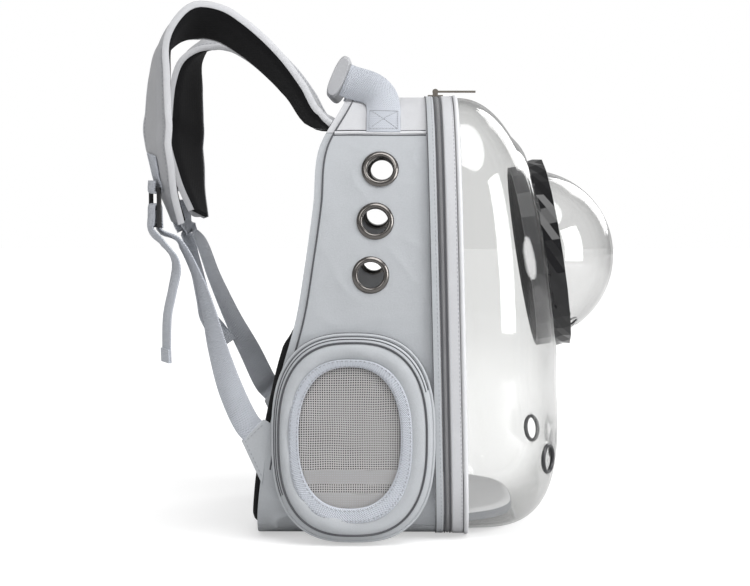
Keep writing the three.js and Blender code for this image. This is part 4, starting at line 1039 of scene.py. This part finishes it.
def build_pocket(side, sign):
    face = PANEL_HALF + WINDOW_PROUD
    shoulder = PANEL_HALF + WINDOW_PROUD * 0.55
    count = 220

    def crease(spot, angle, lift):
        """Relief of the padded face, with soft creases at its upper front corner."""
        waves = soft((0, spot.y, spot.z), 45, 11 + sign) * 1.6 + soft((0, spot.y, spot.z), 16, 12) * 0.5
        fold = (1 - abs(soft((0, spot.y * 0.7 + spot.z * 0.4, spot.z * 0.5), 24, 13 + sign))) ** 7
        corner = smooth(math.cos(angle - 5.5 if sign < 0 else angle), 0.1, 1)
        return lift * (waves + fold * (1.2 + 1.8 * corner))

    outer_rows = []
    stops = [0, 0.25, 0.5, 0.75, 1]
    for angle in loop_angles(POCKET, count):
        row = []
        foot = loop_spot(POCKET, angle, lambda z: half_width(z, -0.8))
        knee = loop_spot(POCKET, angle, shoulder)
        rim = loop_spot(FACE, angle, face)
        inner = loop_spot(OPENING, angle, face, 2)
        for share in stops[:-1]:
            spot = foot.lerp(knee, share)
            out = 0.8 * math.sin(math.pi * share)
            row.append(spot + Vector((0, math.cos(angle), math.sin(angle))) * out)
        for share in stops[:-1]:
            spot = knee.lerp(rim, share)
            bulge = math.sin(math.pi * share) * 1.5
            row.append(spot + Vector((bulge * 0.7, bulge * 0.7 * math.cos(angle), bulge * 0.7 * math.sin(angle))))
        for k in range(13):
            share = k / 12
            spot = rim.lerp(inner, share)
            crown = 2.4 * math.sin(math.pi * min(share * 1.35, 1)) ** 0.8 - 0.4 * smooth(share, 0.7, 1)
            spot.x += crown + crease(spot, angle, 0.9 * math.sin(math.pi * share) ** 0.5)
            row.append(spot)
        row.append(loop_spot(OPENING, angle, face - 2.5, 2))
        row.append(loop_spot(FACE, angle, face - 2.5, -2.5))
        row.append(loop_spot(POCKET, angle, shoulder - 2.5, -2.5))
        row.append(loop_spot(POCKET, angle, lambda z: half_width(z, -0.8), -2.5))
        outer_rows.append([(sign * spot.x, spot.y, spot.z) for spot in row])
    pocket = sweep(f"pocket_cloth_{side}", outer_rows, CASE_CLOTH, ring=True, sharp=60)
    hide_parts(f"window_pocket_{side}")

    def bead(name, shape, x, radius, material, slot, grow=0.0):
        rows = []
        for angle in loop_angles(shape, count):
            spot = loop_spot(shape, angle, x, grow)
            after = loop_spot(shape, angle + 0.01, x, grow)
            way = (after - spot).normalized()
            side_way = way.cross(Vector((1, 0, 0))).normalized()
            row = []
            for k in range(8):
                turn = 2 * math.pi * k / 8
                at = spot + side_way * radius * math.cos(turn) + Vector((radius * math.sin(turn), 0, 0))
                row.append((sign * at.x, at.y, at.z))
            rows.append(row)
        made = sweep(name, rows, material, ring=True)

    bead(f"pocket_welt_{side}", POCKET, shoulder + 0.9, 1.5, CASE_CLOTH, "case_cloth", 0.3)
    bead(f"pocket_piping_{side}", FACE, face + 0.5, 1.05, DARK_PIPING_AND_SHADOW, "case_cloth", 0.4)
    # Painted shadow: a dark bead along the seam at the pocket's foot stands in for the contact shadow where the pocket
    # stands off the side panel.
    bead(f"pocket_foot_shadow_{side}", POCKET, lambda z: half_width(z, -1.2), 0.8, DARK_PIPING_AND_SHADOW, "case_cloth", 0.9)
    for name, share in (("outer", 0.3), ("inner", 0.62)):
        places = []
        lifts = []
        for angle in np.linspace(math.radians(-28), math.radians(158), 150):
            spot = loop_spot(POCKET, angle, shoulder).lerp(loop_spot(FACE, angle, face), share)
            bulge = math.sin(math.pi * share) * 1.5
            way = Vector((0.7, 0.7 * math.cos(angle), 0.7 * math.sin(angle)))
            spot += way * bulge
            places.append((sign * spot.x, spot.y, spot.z))
            lifts.append((sign * way.x, way.y, way.z))
        line_bead(f"pocket_zip_{name}_{side}", places, lifts, 0.55, DARK_PIPING_AND_SHADOW)

    low = face + 0.9
    rows = []
    for angle in loop_angles(TRIM, count):
        outer = loop_spot(TRIM, angle, 0)
        inner = loop_spot(OPENING, angle, 0)
        row = []
        for share, lift in ((0, 0), (0, 1.2), (0.06, 1.8), (0.3, 2.0), (0.6, 2.0), (0.94, 1.8), (1, 1.2), (1, 0)):
            spot = outer.lerp(inner, share)
            row.append((sign * (low + lift), spot.y, spot.z))
        rows.append(row)
    trim = sweep(f"window_webbing_{side}", rows, WEBBING, ring=True, sharp=60)
    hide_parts(f"window_trim_{side}")
    for place, share in (("outer", 0.16), ("inner", 0.84)):
        places = []
        for angle in loop_angles(TRIM, count):
            spot = loop_spot(TRIM, angle, 0).lerp(loop_spot(OPENING, angle, 0), share)
            places.append((sign * (low + 1.95), spot.y, spot.z))
        made = stitches(f"trim_stitches_{place}_{side}", places, [(sign, 0, 0)] * count, THREAD, closed=True)
    build_net(side, sign, face - 1.4)
    build_sill(side, sign, face - 3.6)


def build_sill(side, sign, x):
    """The lining's folded bands behind the foot of the net, and a dark mesh sheet behind them which paints the shade
    of the case's inside.
    """
    for name, low, high, back, material in SILL_BANDS:
        reach = min(abs(high - OPENING["z"]) / OPENING["high"], 1)
        half = OPENING["wide"] * (1 - reach ** OPENING["power"]) ** (1 / OPENING["power"]) + 2
        rows = []
        for y in np.linspace(OPENING["y"] - half, OPENING["y"] + half, 44):
            wave = soft((y, low, 0), 17, 51) * 1.6
            bulge = soft((y, high, 0), 12, 52) * 0.4
            near = sign * (x - back + bulge)
            far = sign * (x - back - 0.8 + bulge)
            rows.append([(far, y, low + wave), (near, y, low + wave), (near, y, high + wave), (far, y, high + wave)])
        made = sweep(f"sill_{name}_{side}", rows, material)
    rows = []
    # Painted shade: a dark sheet across the whole opening, behind the net, in place of the shaded inside of the case.
    for share, deep in ((0.02, 0), (0.5, 0), (1, 0), (1, 0.8), (0.5, 0.8), (0.02, 0.8)):
        row = []
        for angle in loop_angles(OPENING, 90):
            spot = loop_spot(OPENING, angle, 0, INNER_SHADE_SPARE)
            y = OPENING["y"] + (spot.y - OPENING["y"]) * share
            z = OPENING["z"] + (spot.z - OPENING["z"]) * share
            row.append((sign * (x - INNER_SHADE_BACK - deep + soft((y, z, 0), 30, 53) * 0.8), y, z))
        rows.append(row)
    made = sweep(f"inner_mesh_{side}", rows, INNER_SHADE_MESH)


def build_net(side, sign, x):
    """Square netting of crossing threads inside the opening."""
    points = []
    faces = []
    limit = 2.0

    def reach(offset, half_line, half_cross):
        share = abs(offset) / half_cross
        if share >= 1:
            return 0
        return half_line * (1 - share ** OPENING["power"]) ** (1 / OPENING["power"])

    def thread(start, end, lift):
        steps = max(int((end - start).length / 6), 2)
        way = (end - start).normalized()
        cross = way.cross(Vector((1, 0, 0))).normalized()
        first = len(points)
        for k in range(steps + 1):
            spot = start.lerp(end, k / steps)
            sag = soft((0, spot.y, spot.z), 30, 21) * 0.6
            for turn in range(4):
                angle = math.pi / 2 * turn + math.pi / 4
                side_step = cross * NET_WIDE * math.copysign(1, math.cos(angle))
                out = NET_THICK * math.copysign(1, math.sin(angle)) + sag + lift
                drift = soft((x, spot.y, spot.z), 22, 22) * 0.9
                at = spot + side_step + cross * drift
                points.append((sign * (at.x + out), at.y, at.z))
        for k in range(steps):
            for turn in range(4):
                a = first + k * 4 + turn
                b = first + k * 4 + (turn + 1) % 4
                faces.append((a, b, b + 4, a + 4))

    wide = OPENING["wide"] + limit
    high = OPENING["high"] + limit
    count = int(wide / NET_PITCH)
    for k in range(-count, count + 1):
        offset = k * NET_PITCH
        long = reach(offset, high, wide)
        y = OPENING["y"] + offset
        if long > 2:
            thread(Vector((x, y, OPENING["z"] - long)), Vector((x, y, OPENING["z"] + long)), 0.15)
    count = int(high / NET_PITCH)
    for k in range(-count, count + 1):
        offset = k * NET_PITCH
        long = reach(offset, wide, high)
        z = OPENING["z"] + offset
        if long > 2:
            thread(Vector((x, OPENING["y"] - long, z)), Vector((x, OPENING["y"] + long, z)), -0.15)
    net = build(f"net_threads_{side}", points, faces, NET_CLOTH)
    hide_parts(f"window_net_{side}")


# Straps, webbing and handle.


class Curve:
    """A centripetal curve through points, read at equal steps from point to point."""

    def __init__(self, points):
        self.points = [Vector(point) for point in points]

    def at(self, share):
        points = self.points
        place = (len(points) - 1) * share
        first = min(int(place), len(points) - 2)
        weight = place - first
        one = points[first]
        two = points[first + 1]
        zero = points[first - 1] if first > 0 else one * 2 - two
        three = points[first + 2] if first + 2 < len(points) else two * 2 - one
        gaps = [(a - b).length_squared ** 0.25 for a, b in ((zero, one), (one, two), (two, three))]
        if gaps[1] < 1e-4:
            gaps[1] = 1.0
        gaps = [gaps[1] if gap < 1e-4 else gap for gap in gaps]
        start = (one - zero) / gaps[0] - (two - zero) / (gaps[0] + gaps[1]) + (two - one) / gaps[1]
        end = (two - one) / gaps[1] - (three - one) / (gaps[1] + gaps[2]) + (three - two) / gaps[2]
        start = start * gaps[1]
        end = end * gaps[1]
        cubic = (one - two) * 2 + start + end
        square = (two - one) * 3 - start * 2 - end
        return one + start * weight + square * weight**2 + cubic * weight**3

    def way(self, share):
        step = 1e-4
        return (self.at(min(share + step, 1)) - self.at(max(share - step, 0))).normalized()


def placed(row):
    return Vector((row[0] * HALF, row[1] * DEPTH, row[2] * HEIGHT))


def width_way(row):
    turn = math.radians(row[3])
    dip = math.radians(row[4])
    return Vector((math.cos(turn) * math.cos(dip), math.sin(turn) * math.cos(dip), math.sin(dip)))


class Strip:
    """A flat strip along stops of (place, way of the width, width)."""

    def __init__(self, stops):
        self.path = Curve([stop[0] for stop in stops])
        self.ways = Curve([stop[1] for stop in stops])
        self.widths = Curve([(stop[2], 0, 0) for stop in stops])
        self.fine = np.linspace(0, 1, 900)
        spots = np.array([self.path.at(share) for share in self.fine])
        self.measure = np.concatenate([[0.0], np.cumsum(np.linalg.norm(np.diff(spots, axis=0), axis=1))])
        self.length = self.measure[-1]

    def share(self, along):
        """The curve's own share at a distance along it."""
        return float(np.interp(along, self.measure, self.fine))

    def frame(self, share):
        spot = self.path.at(share)
        along = self.path.way(share)
        way = self.ways.at(share)
        way = (way - along * way.dot(along)).normalized()
        return spot, along, way, way.cross(along), self.widths.at(share).x / 2

    def point(self, share, across, lift):
        """A point at a share of the half width across the strip, lifted off its middle."""
        spot, _, way, out, half = self.frame(share)
        return spot + way * half * across + out * lift

    def solid(self, name, section, material, step=4.0, sign=1, sharp=50, first=0.0, last=None):
        """Sweeps a closed section of (across, lift), across as a distance or a share, along the strip."""
        last = self.length if last is None else last
        count = max(int((last - first) / step), 2)
        rows = []
        for along in np.linspace(first, last, count + 1):
            spot, _, way, out, half = self.frame(self.share(along))
            row = []
            for across, lift in section(half, along):
                at = spot + way * across + out * lift
                row.append((sign * at.x, at.y, at.z))
            rows.append(row)
        return sweep(name, rows, material, sharp=sharp)


def strap_stops():
    z = STRAP_ROOT[1] * HEIGHT
    slope = (back_edge(z + 1) - back_edge(z - 1)) / 2
    away = Vector((0, 1, -slope)).normalized()
    base = Vector((STRAP_ROOT[0] * HALF, back_edge(z), z))
    wide = STRAP_WIDTH * STRAP_ROWS[0][5]
    stops = [(base + away * lift, Vector((1, 0, 0)), wide) for lift in (0.5, 3.5)]
    stops += [(placed(row), width_way(row), STRAP_WIDTH * row[5]) for row in STRAP_ROWS]
    return stops


def web_section(thick, edge=0.5):
    def section(half, along):
        high = thick / 2
        low = [(-half, -high + edge), (-half + edge, -high), (0, -high), (half - edge, -high), (half, -high + edge)]
        top = [(half, high - edge), (half - edge, high), (0, high), (-half + edge, high), (-half, high - edge)]
        return low + top

    return section


def build_strap(side, sign):
    strip = Strip(strap_stops())
    band = 8.0

    def shell(half, along):
        """The silver face: flat edge bands and a padded middle."""
        ripple = soft((along, 0, 0), 22, 31 + sign) * 0.35
        section = []
        for k in range(25):
            across = -half + 2 * half * k / 24
            inside = half - abs(across)
            if inside < band:
                lift = 2.4 + 1.2 * math.sin(math.pi * min(inside / band, 1)) * 0.6
                if inside < 1:
                    lift = 1.2 + 1.2 * inside
            else:
                share = min((inside - band) / 10, 1)
                lift = 2.6 + 4.0 * math.sin(math.pi / 2 * share) + ripple * share
            section.append((across, lift))
        return section + [(half, 0.2), (-half, 0.2)]

    def lining(half, along):
        section = []
        for k in range(19):
            across = half - 2 * half * k / 18
            inside = half - abs(across)
            section.append((across, -2.2 - 4.0 * math.sin(math.pi / 2 * min(inside / 12, 1)) + soft((across, along, 0), 25, 33) * 0.4))
        return [(-half, -0.2), (half, -0.2)] + section

    face = strip.solid(f"strap_face_{side}", shell, STRAP_CLOTH, 3.0, -sign)
    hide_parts(f"strap_{side}")
    back = strip.solid(f"strap_mesh_{side}", lining, BLACK_MESH, 4.0, -sign)
    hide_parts(f"strap_lining_{side}")
    for edge in (-1, 1):
        places = []
        lifts = []
        for along in np.linspace(2, strip.length - 2, 200):
            spot, _, way, out, half = strip.frame(strip.share(along))
            at = spot + way * edge * (half - 4.5) + out * 3.1
            places.append((-sign * at.x, at.y, at.z))
            lifts.append((-sign * out.x, out.y, out.z))
        name = "inner" if edge < 0 else "outer"
        made = stitches(f"strap_stitches_{name}_{side}", places, lifts, THREAD)

        def binding(half, along, edge=edge):
            loop = []
            for k in range(10):
                turn = 2 * math.pi * k / 10
                loop.append((edge * half + 1.3 * math.cos(turn) * 1.0, 0.0 + 3.4 * math.sin(turn)))
            return loop

        made = strip.solid(f"strap_binding_{name}_{side}", binding, PALE_CLOTH, 4.0, -sign)
    return strip


def buckle_frame(side):
    across = Vector((math.cos(BUCKLE_TURN), -side * math.sin(BUCKLE_TURN), 0))
    up = Vector((0, 0, 1))
    out = Vector((side * math.sin(BUCKLE_TURN), math.cos(BUCKLE_TURN), 0))
    centre = Vector((-side * BUCKLE_CENTRE[0] * HALF, BUCKLE_CENTRE[1] * DEPTH, BUCKLE_CENTRE[2] * HEIGHT))

    def at(w, t, n):
        return centre + across * w + up * t + out * n

    return across, up, out, at


WRAP = BUCKLE_BAR / 2 + BAR_CLEAR + WEBBING_THICK / 2
FACE_OUT = 2 + BAR_CLEAR + WEBBING_THICK / 2


def bar_turn(height, way):
    return [
        (height, -FACE_OUT),
        (height + way * WRAP * 0.9, -FACE_OUT * 0.85),
        (height + way * WRAP * 1.15, 0),
        (height + way * WRAP * 0.9, FACE_OUT * 0.85),
        (height, FACE_OUT),
    ]


def build_buckle(side, sign):
    across, up, out, at = buckle_frame(sign)
    rail = (BUCKLE_WIDE - WEBBING_WIDE) / 2 - 1
    rail_at = (BUCKLE_WIDE - rail) / 2
    tall = BUCKLE_UP + BUCKLE_DOWN + BUCKLE_BAR
    middle = (BUCKLE_UP - BUCKLE_DOWN) / 2
    blocks = [(rail, tall, 4.4, middle, -rail_at), (rail, tall, 4.4, middle, rail_at)]
    blocks += [(BUCKLE_WIDE - rail, BUCKLE_BAR, 4, t, 0) for t in (BUCKLE_UP, 0, -BUCKLE_DOWN)]
    made = []
    for wide, high, deep, t, w in blocks:
        points = []
        for x, y, z in ((-1, -1, -1), (1, -1, -1), (1, 1, -1), (-1, 1, -1), (-1, -1, 1), (1, -1, 1), (1, 1, 1), (-1, 1, 1)):
            points.append(tuple(at(w + x * wide / 2, t + y * high / 2, z * deep / 2)))
        faces = [(0, 1, 2, 3), (4, 5, 6, 7), (0, 1, 5, 4), (1, 2, 6, 5), (2, 3, 7, 6), (3, 0, 4, 7)]
        block = build("block", points, faces, BUCKLE_BLACK)
        bevel = block.modifiers.new("round", "BEVEL")
        bevel.width = 1.1 * MM
        bevel.segments = 4
        settle(block)
        made.append(block)
    name = f"ladder_buckle_{side}"
    body = join(name, made)
    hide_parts(f"buckle_{side}")


def join(name, pieces):
    """One object from several."""
    work = bmesh.new()
    for piece in pieces:
        work.from_mesh(piece.data)
    material = pieces[0].data.materials[0]
    body = pieces[0]["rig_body"]
    for piece in pieces:
        bpy.data.objects.remove(piece)
    mesh = bpy.data.meshes.new(name)
    work.to_mesh(mesh)
    work.free()
    mesh.materials.append(material)
    mesh.shade_smooth()
    mesh.set_sharp_from_angle(angle=math.radians(40))
    return link(name, mesh, body)


def tab_end(side):
    tip = Vector((0, *TAB_TIP))
    heel = Vector((0, *TAB_HEEL))
    way = (tip - heel).normalized()
    away = Vector((0, -way.z, way.y))
    spot = (tip + heel) / 2 + away * 0.3
    spot.x = side * (HALF - PANEL_INSET - PANEL_WALL / 2)
    return spot, way, away


def build_webbing(side, sign, run, tail):
    across, up, out, at = buckle_frame(sign)
    spot, way, away = tab_end(sign)
    pairs = [(-BUCKLE_DOWN - BUCKLE_BAR, -FACE_OUT - WEBBING_THICK), (-BUCKLE_DOWN + BUCKLE_BAR / 2, -FACE_OUT - BAR_CLEAR)]
    pairs += bar_turn(0, 1)
    pairs += [(-BUCKLE_DOWN / 2, FACE_OUT + BAR_CLEAR / 2), (-BUCKLE_DOWN - BUCKLE_BAR, FACE_OUT + BAR_CLEAR / 2)]
    stops = [(spot - away * 6, way, WEBBING_WIDE), (spot + away * WEBBING_WIDE / 4, way, WEBBING_WIDE)]
    stops += [(placed(row), width_way(row), WEBBING_WIDE) for row in run]
    stops += [(at(0, t, n), across, WEBBING_WIDE) for t, n in pairs]
    stops += [(placed(row), width_way(row), WEBBING_WIDE) for row in tail]
    strip = Strip(stops)
    made = strip.solid(f"adjusting_webbing_{side}", web_section(WEBBING_THICK), WEBBING, 2.0)
    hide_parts(f"webbing_{side}")
    fold = strip.length

    def hem(half, along):
        edge = 2.3
        return [(-half + 0.4, 0.9), (half - 0.4, 0.9), (half - 0.2, edge), (-half + 0.2, edge)]

    end = strip.solid(f"tail_hem_{side}", hem, WEBBING, 3.0, first=fold - 13)
    return strip


def build_loop(side, sign, strap):
    across, up, out, at = buckle_frame(-1)
    middle = BUCKLE_CENTRE[2] * HEIGHT
    stops = []
    for above in (34, 24, 13):
        goal = middle + BUCKLE_UP + above
        low, high = 0.6, 1.0
        for _ in range(40):
            half_way = (low + high) / 2
            if strap.path.at(half_way).z > goal:
                low = half_way
            else:
                high = half_way
        spot, _, way, lift, _ = strap.frame(low)
        stops.append((spot + lift * (0.15 + 6.6 + 0.4 + WEBBING_THICK / 2), way, WEBBING_WIDE))
    pairs = [(BUCKLE_UP + BUCKLE_BAR, -FACE_OUT + BAR_CLEAR / 2), *bar_turn(BUCKLE_UP, -1)]
    pairs += [(BUCKLE_UP + 2 * BUCKLE_BAR, FACE_OUT - BAR_CLEAR)]
    stops += [(at(0, t, n), across, WEBBING_WIDE) for t, n in pairs]
    strip = Strip(stops)
    made = strip.solid(f"buckle_webbing_{side}", web_section(WEBBING_THICK), WEBBING, 1.5, -sign)
    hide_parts(f"buckle_loop_{side}")


def build_tab(side, sign):
    """The triangular cloth tab in the rear seam, hemmed and stitched."""
    corners = [TAB_TIP, TAB_HEEL, (back_edge(TAB_TOP) - 2, TAB_TOP), (back_edge(84) - 2, 84), (back_edge(TAB_FOOT) - 2, TAB_FOOT)]
    outer = HALF - PANEL_INSET - 0.3
    points = [(sign * x, y, z) for x in (outer, outer - TAB_THICK) for y, z in corners]
    count = len(corners)
    faces = [tuple(range(count)), tuple(range(count, 2 * count))]
    faces += [(i, (i + 1) % count, (i + 1) % count + count, i + count) for i in range(count)]
    tab = build(f"tab_cloth_{side}", points, faces, CASE_CLOTH)
    bevel = tab.modifiers.new("round", "BEVEL")
    bevel.width = 0.9 * MM
    bevel.segments = 3
    settle(tab)
    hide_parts(f"anchor_tab_{side}")
    middle = Vector((np.mean([y for y, _ in corners]), np.mean([z for _, z in corners])))
    line = [Vector(corner).lerp(middle, 0.2) for corner in (corners[-1], TAB_TIP, TAB_HEEL)]
    places = []
    for first, last in zip(line[:-1], line[1:]):
        places += [(sign * (outer + 0.05), *first.lerp(last, k / 8)) for k in range(9)]
    made = stitches(f"tab_stitches_{side}", places, [(sign, 0, 0)] * len(places), THREAD)


def handle_strip():
    angle = panel_angle(TOP_SEAM)
    angles = [angle + step for step in (0, 0.13, 0.24)]
    spots, _ = outline(angles, PANEL_HALF, PANEL_TOP, -SAG, 1.7)
    stops = [(Vector((-x, HANDLE_BACK * DEPTH, z)), Vector((0, 1, 0)), HANDLE_WEBBING) for x, z in spots]
    tilt = GRIP["tilt"]
    way = Vector((0, math.sin(tilt), -math.cos(tilt)))
    face = Vector((0, -math.cos(tilt), -math.sin(tilt)))
    meet = Vector((HANDLE_MEET * HALF, GRIP["back"] * DEPTH, GRIP["up"] * HEIGHT)) + face * (GRIP["thick"] / 2 + 0.3)
    stops += [(placed(row), width_way(row), HANDLE_WEBBING) for row in HANDLE_ROWS]
    stops += [(meet + face * 6, way, HANDLE_WEBBING), (meet, way, HANDLE_WEBBING)]
    return Strip(stops)


def build_handle():
    strip = handle_strip()
    for side, sign in (("left", 1), ("right", -1)):
        leg = strip.solid(f"handle_webbing_{side}", web_section(HANDLE_THICK), WEBBING, 2.0, sign)
        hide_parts(f"handle_leg_{side}")
        patch = []
        lifts = []
        first, last = 3, 28
        inset = 0.84
        corners = [(first, -inset), (first, inset), (last, inset), (last, -inset), (first, -inset), (last, inset)]
        corners += [(last, -inset), (first, inset)]
        for (a, b), (c, d) in zip(corners[:-1], corners[1:]):
            for k in range(10):
                along = a + (c - a) * k / 10
                across = b + (d - b) * k / 10
                spot, _, way, out, half = strip.frame(strip.share(along))
                at = spot + way * half * across - out * (HANDLE_THICK / 2 + 0.1)
                patch.append((sign * at.x, at.y, at.z))
                lifts.append((-sign * out.x, -out.y, -out.z))
        made = stitches(f"handle_stitches_{side}", patch, lifts, THREAD, 3.0, 2.2)
    tilt = GRIP["tilt"]
    wide_way = Vector((0, -math.sin(tilt), math.cos(tilt)))
    face_way = Vector((0, math.cos(tilt), math.sin(tilt)))
    centre = Vector((0, GRIP["back"] * DEPTH, GRIP["up"] * HEIGHT))
    rows = []
    half = GRIP["span"] / 2
    for x in np.linspace(-half, half, 60):
        near = min((half - abs(x)) / 12, 1)
        size = 0.86 + 0.14 * math.sin(math.pi / 2 * near)
        row = []
        for k in range(36):
            turn = 2 * math.pi * k / 36
            wide = math.copysign(abs(math.cos(turn)) ** 0.85, math.cos(turn)) * GRIP["wide"] / 2 * size
            deep = math.copysign(abs(math.sin(turn)) ** 0.7, math.sin(turn)) * GRIP["thick"] / 2 * size
            deep += soft((x, wide, 0), 18, 41) * 0.3
            at = centre + wide_way * wide + face_way * deep
            row.append((x, at.y, at.z))
        rows.append(row)
    grip = sweep("handle_padding", rows, STRAP_CLOTH)
    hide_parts("handle_grip")
    seam = [(x, *(centre + wide_way * (GRIP["wide"] / 2 - 6) + face_way * (-GRIP["thick"] / 2 + 0.8)).yz) for x in np.linspace(-half + 6, half - 6, 60)]
    made = stitches("grip_stitches", seam, [tuple(-face_way)] * len(seam), THREAD)


# Floor mat.


def build_mat():
    rows = []
    count = 120
    spots = []
    front = FRONT
    back = back_edge(0) - 17
    half = half_width(20, 7)
    for k in range(count):
        angle = 2 * math.pi * k / count
        across = math.cos(angle)
        rise = math.sin(angle)
        x = math.copysign(abs(across) ** (2 / 3.2), across) * half
        y = math.copysign(abs(rise) ** (2 / (7 if rise > 0 else 2.6)), rise)
        y = y * back if rise > 0 else 10 + y * (10 - front + 46)
        spots.append((x, y))
    for share, lift in ((1, 14), (1.0, 16), (1.0, 22), (0.985, 24.2), (0.95, 25.0), (0.93, 24.6), (0.5, 24.8), (0.02, 25)):
        rows.append([(x * share, y * share, lift) for x, y in spots])
    rows.append([(x * 0.97, y * 0.97, 13.8) for x, y in spots])
    made = sweep("mat_plush", rows[1:8], MAT_CLOTH)
    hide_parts("floor_mat")
    rows = []
    for k in range(count):
        x, y = spots[k]
        rows.append([(x * 1.004, y * 1.004, 13.9), (x * 1.006, y * 1.006, 18), (x * 1.004, y * 1.004, 21.6), (x * 0.99, y * 0.99, 21.8), (x * 0.985, y * 0.985, 13.9)])
    border = sweep("mat_border", rows, MAT_BORDER, ring=True)


def dress_plain_nodes():
    """Nodes whose own shape is right keep it and get their finish."""
    for name, material in (
        ("dome_collar", COLLAR_BLACK),
        ("dome_lock_ring", SMOKED),
        ("zip_slider", NICKEL),
        ("zip_pull", NICKEL),
    ):
        node = nodes[name]
        node.data.materials.clear()
        node.data.materials.append(material)


# Studio.


def add_stage():
    size = 6
    mesh = bpy.data.meshes.new("floor")
    mesh.from_pydata([(-size, -size, 0), (size, -size, 0), (size, size, 0), (-size, size, 0)], [], [(0, 1, 2, 3)])
    floor = bpy.data.objects.new("floor", mesh)
    made = Finish("floor_white", (0.62, 0.62, 0.62), 0.9, Specular_IOR_Level=0.0)
    glow = made.node("ShaderNodeEmission", Strength=FLOOR_GLOW)
    seen_only = made.node("ShaderNodeLightPath")
    lit = made.math("MULTIPLY", seen_only.outputs["Is Camera Ray"], FLOOR_GLOW)
    made.tree.links.new(lit, glow.inputs["Strength"])
    both = made.tree.nodes.new("ShaderNodeAddShader")
    made.tree.links.new(made.shader.outputs["BSDF"], both.inputs[0])
    made.tree.links.new(glow.outputs["Emission"], both.inputs[1])
    made.tree.links.new(both.outputs["Shader"], made.tree.nodes["Material Output"].inputs["Surface"])
    mesh.materials.append(made.material)
    bpy.context.scene.collection.objects.link(floor)
    world = bpy.data.worlds.new("studio")
    world.use_nodes = True
    tree = world.node_tree
    fill = tree.nodes["Background"]
    fill.inputs["Color"].default_value = (1, 1, 1, 1)
    fill.inputs["Strength"].default_value = 0.38
    seen = tree.nodes.new("ShaderNodeBackground")
    seen.inputs["Color"].default_value = (1, 1, 1, 1)
    rays = tree.nodes.new("ShaderNodeLightPath")
    mix = tree.nodes.new("ShaderNodeMixShader")
    tree.links.new(rays.outputs["Is Camera Ray"], mix.inputs["Fac"])
    tree.links.new(fill.outputs["Background"], mix.inputs[1])
    tree.links.new(seen.outputs["Background"], mix.inputs[2])
    tree.links.new(mix.outputs["Shader"], tree.nodes["World Output"].inputs["Surface"])
    bpy.context.scene.world = world
    bpy.context.scene.view_settings.view_transform = "Standard"


def add_light(name, place, aim, wide, high, power):
    light = bpy.data.lights.new(name, "AREA")
    light.shape = "RECTANGLE"
    light.size = wide
    light.size_y = high
    light.energy = power
    made = bpy.data.objects.new(name, light)
    made.location = place
    made.rotation_euler = (Vector(aim) - Vector(place)).to_track_quat("-Z", "Y").to_euler()
    bpy.context.scene.collection.objects.link(made)


def add_sun(way, strength):
    light = bpy.data.lights.new("sky_light", "SUN")
    light.energy = strength
    light.angle = math.radians(50)
    made = bpy.data.objects.new("sky_light", light)
    made.rotation_euler = Vector(way).to_track_quat("Z", "Y").to_euler()
    bpy.context.scene.collection.objects.link(made)


def add_camera():
    camera = bpy.data.cameras.new("camera")
    camera.lens = CAMERA_LENS
    camera.sensor_width = 36
    made = bpy.data.objects.new("camera", camera)
    made.location = CAMERA_AT
    dip = math.radians(CAMERA_DIP)
    turn = math.radians(CAMERA_TURN)
    look = Vector((math.cos(dip) * math.cos(turn), math.cos(dip) * math.sin(turn), -math.sin(dip)))
    made.rotation_euler = look.to_track_quat("-Z", "Y").to_euler()
    bpy.context.scene.collection.objects.link(made)
    bpy.context.scene.camera = made


add_camera()
add_stage()
add_sun((-0.45, -0.25, 1.0), 2.2)
add_light("front_box", (-0.8, -1.58, 0.66), (0, -0.16, 0.24), 0.8, 1.15, 19)
add_light("side_box", (-1.7, 0.9, 1.2), (0, 0, 0.2), 0.8, 0.8, 6)
add_light("far_box", (1.2, -0.9, 0.9), (0, -0.1, 0.22), 0.6, 1.0, 6)

build_case()
build_back()
build_front_frame()
build_clear_front()
build_dome()
build_eyelets()
build_windows()
straps = {side: build_strap(side, sign) for side, sign in (("left", -1), ("right", 1))}
for side, sign, run, tail in (("left", -1, LEFT_RUN, LEFT_TAIL), ("right", 1, RIGHT_RUN, RIGHT_TAIL)):
    build_buckle(side, sign)
    build_webbing(side, sign, run, tail)
    build_loop(side, sign, straps[side])
    build_tab(side, sign)
build_handle()
build_mat()
dress_plain_nodes()
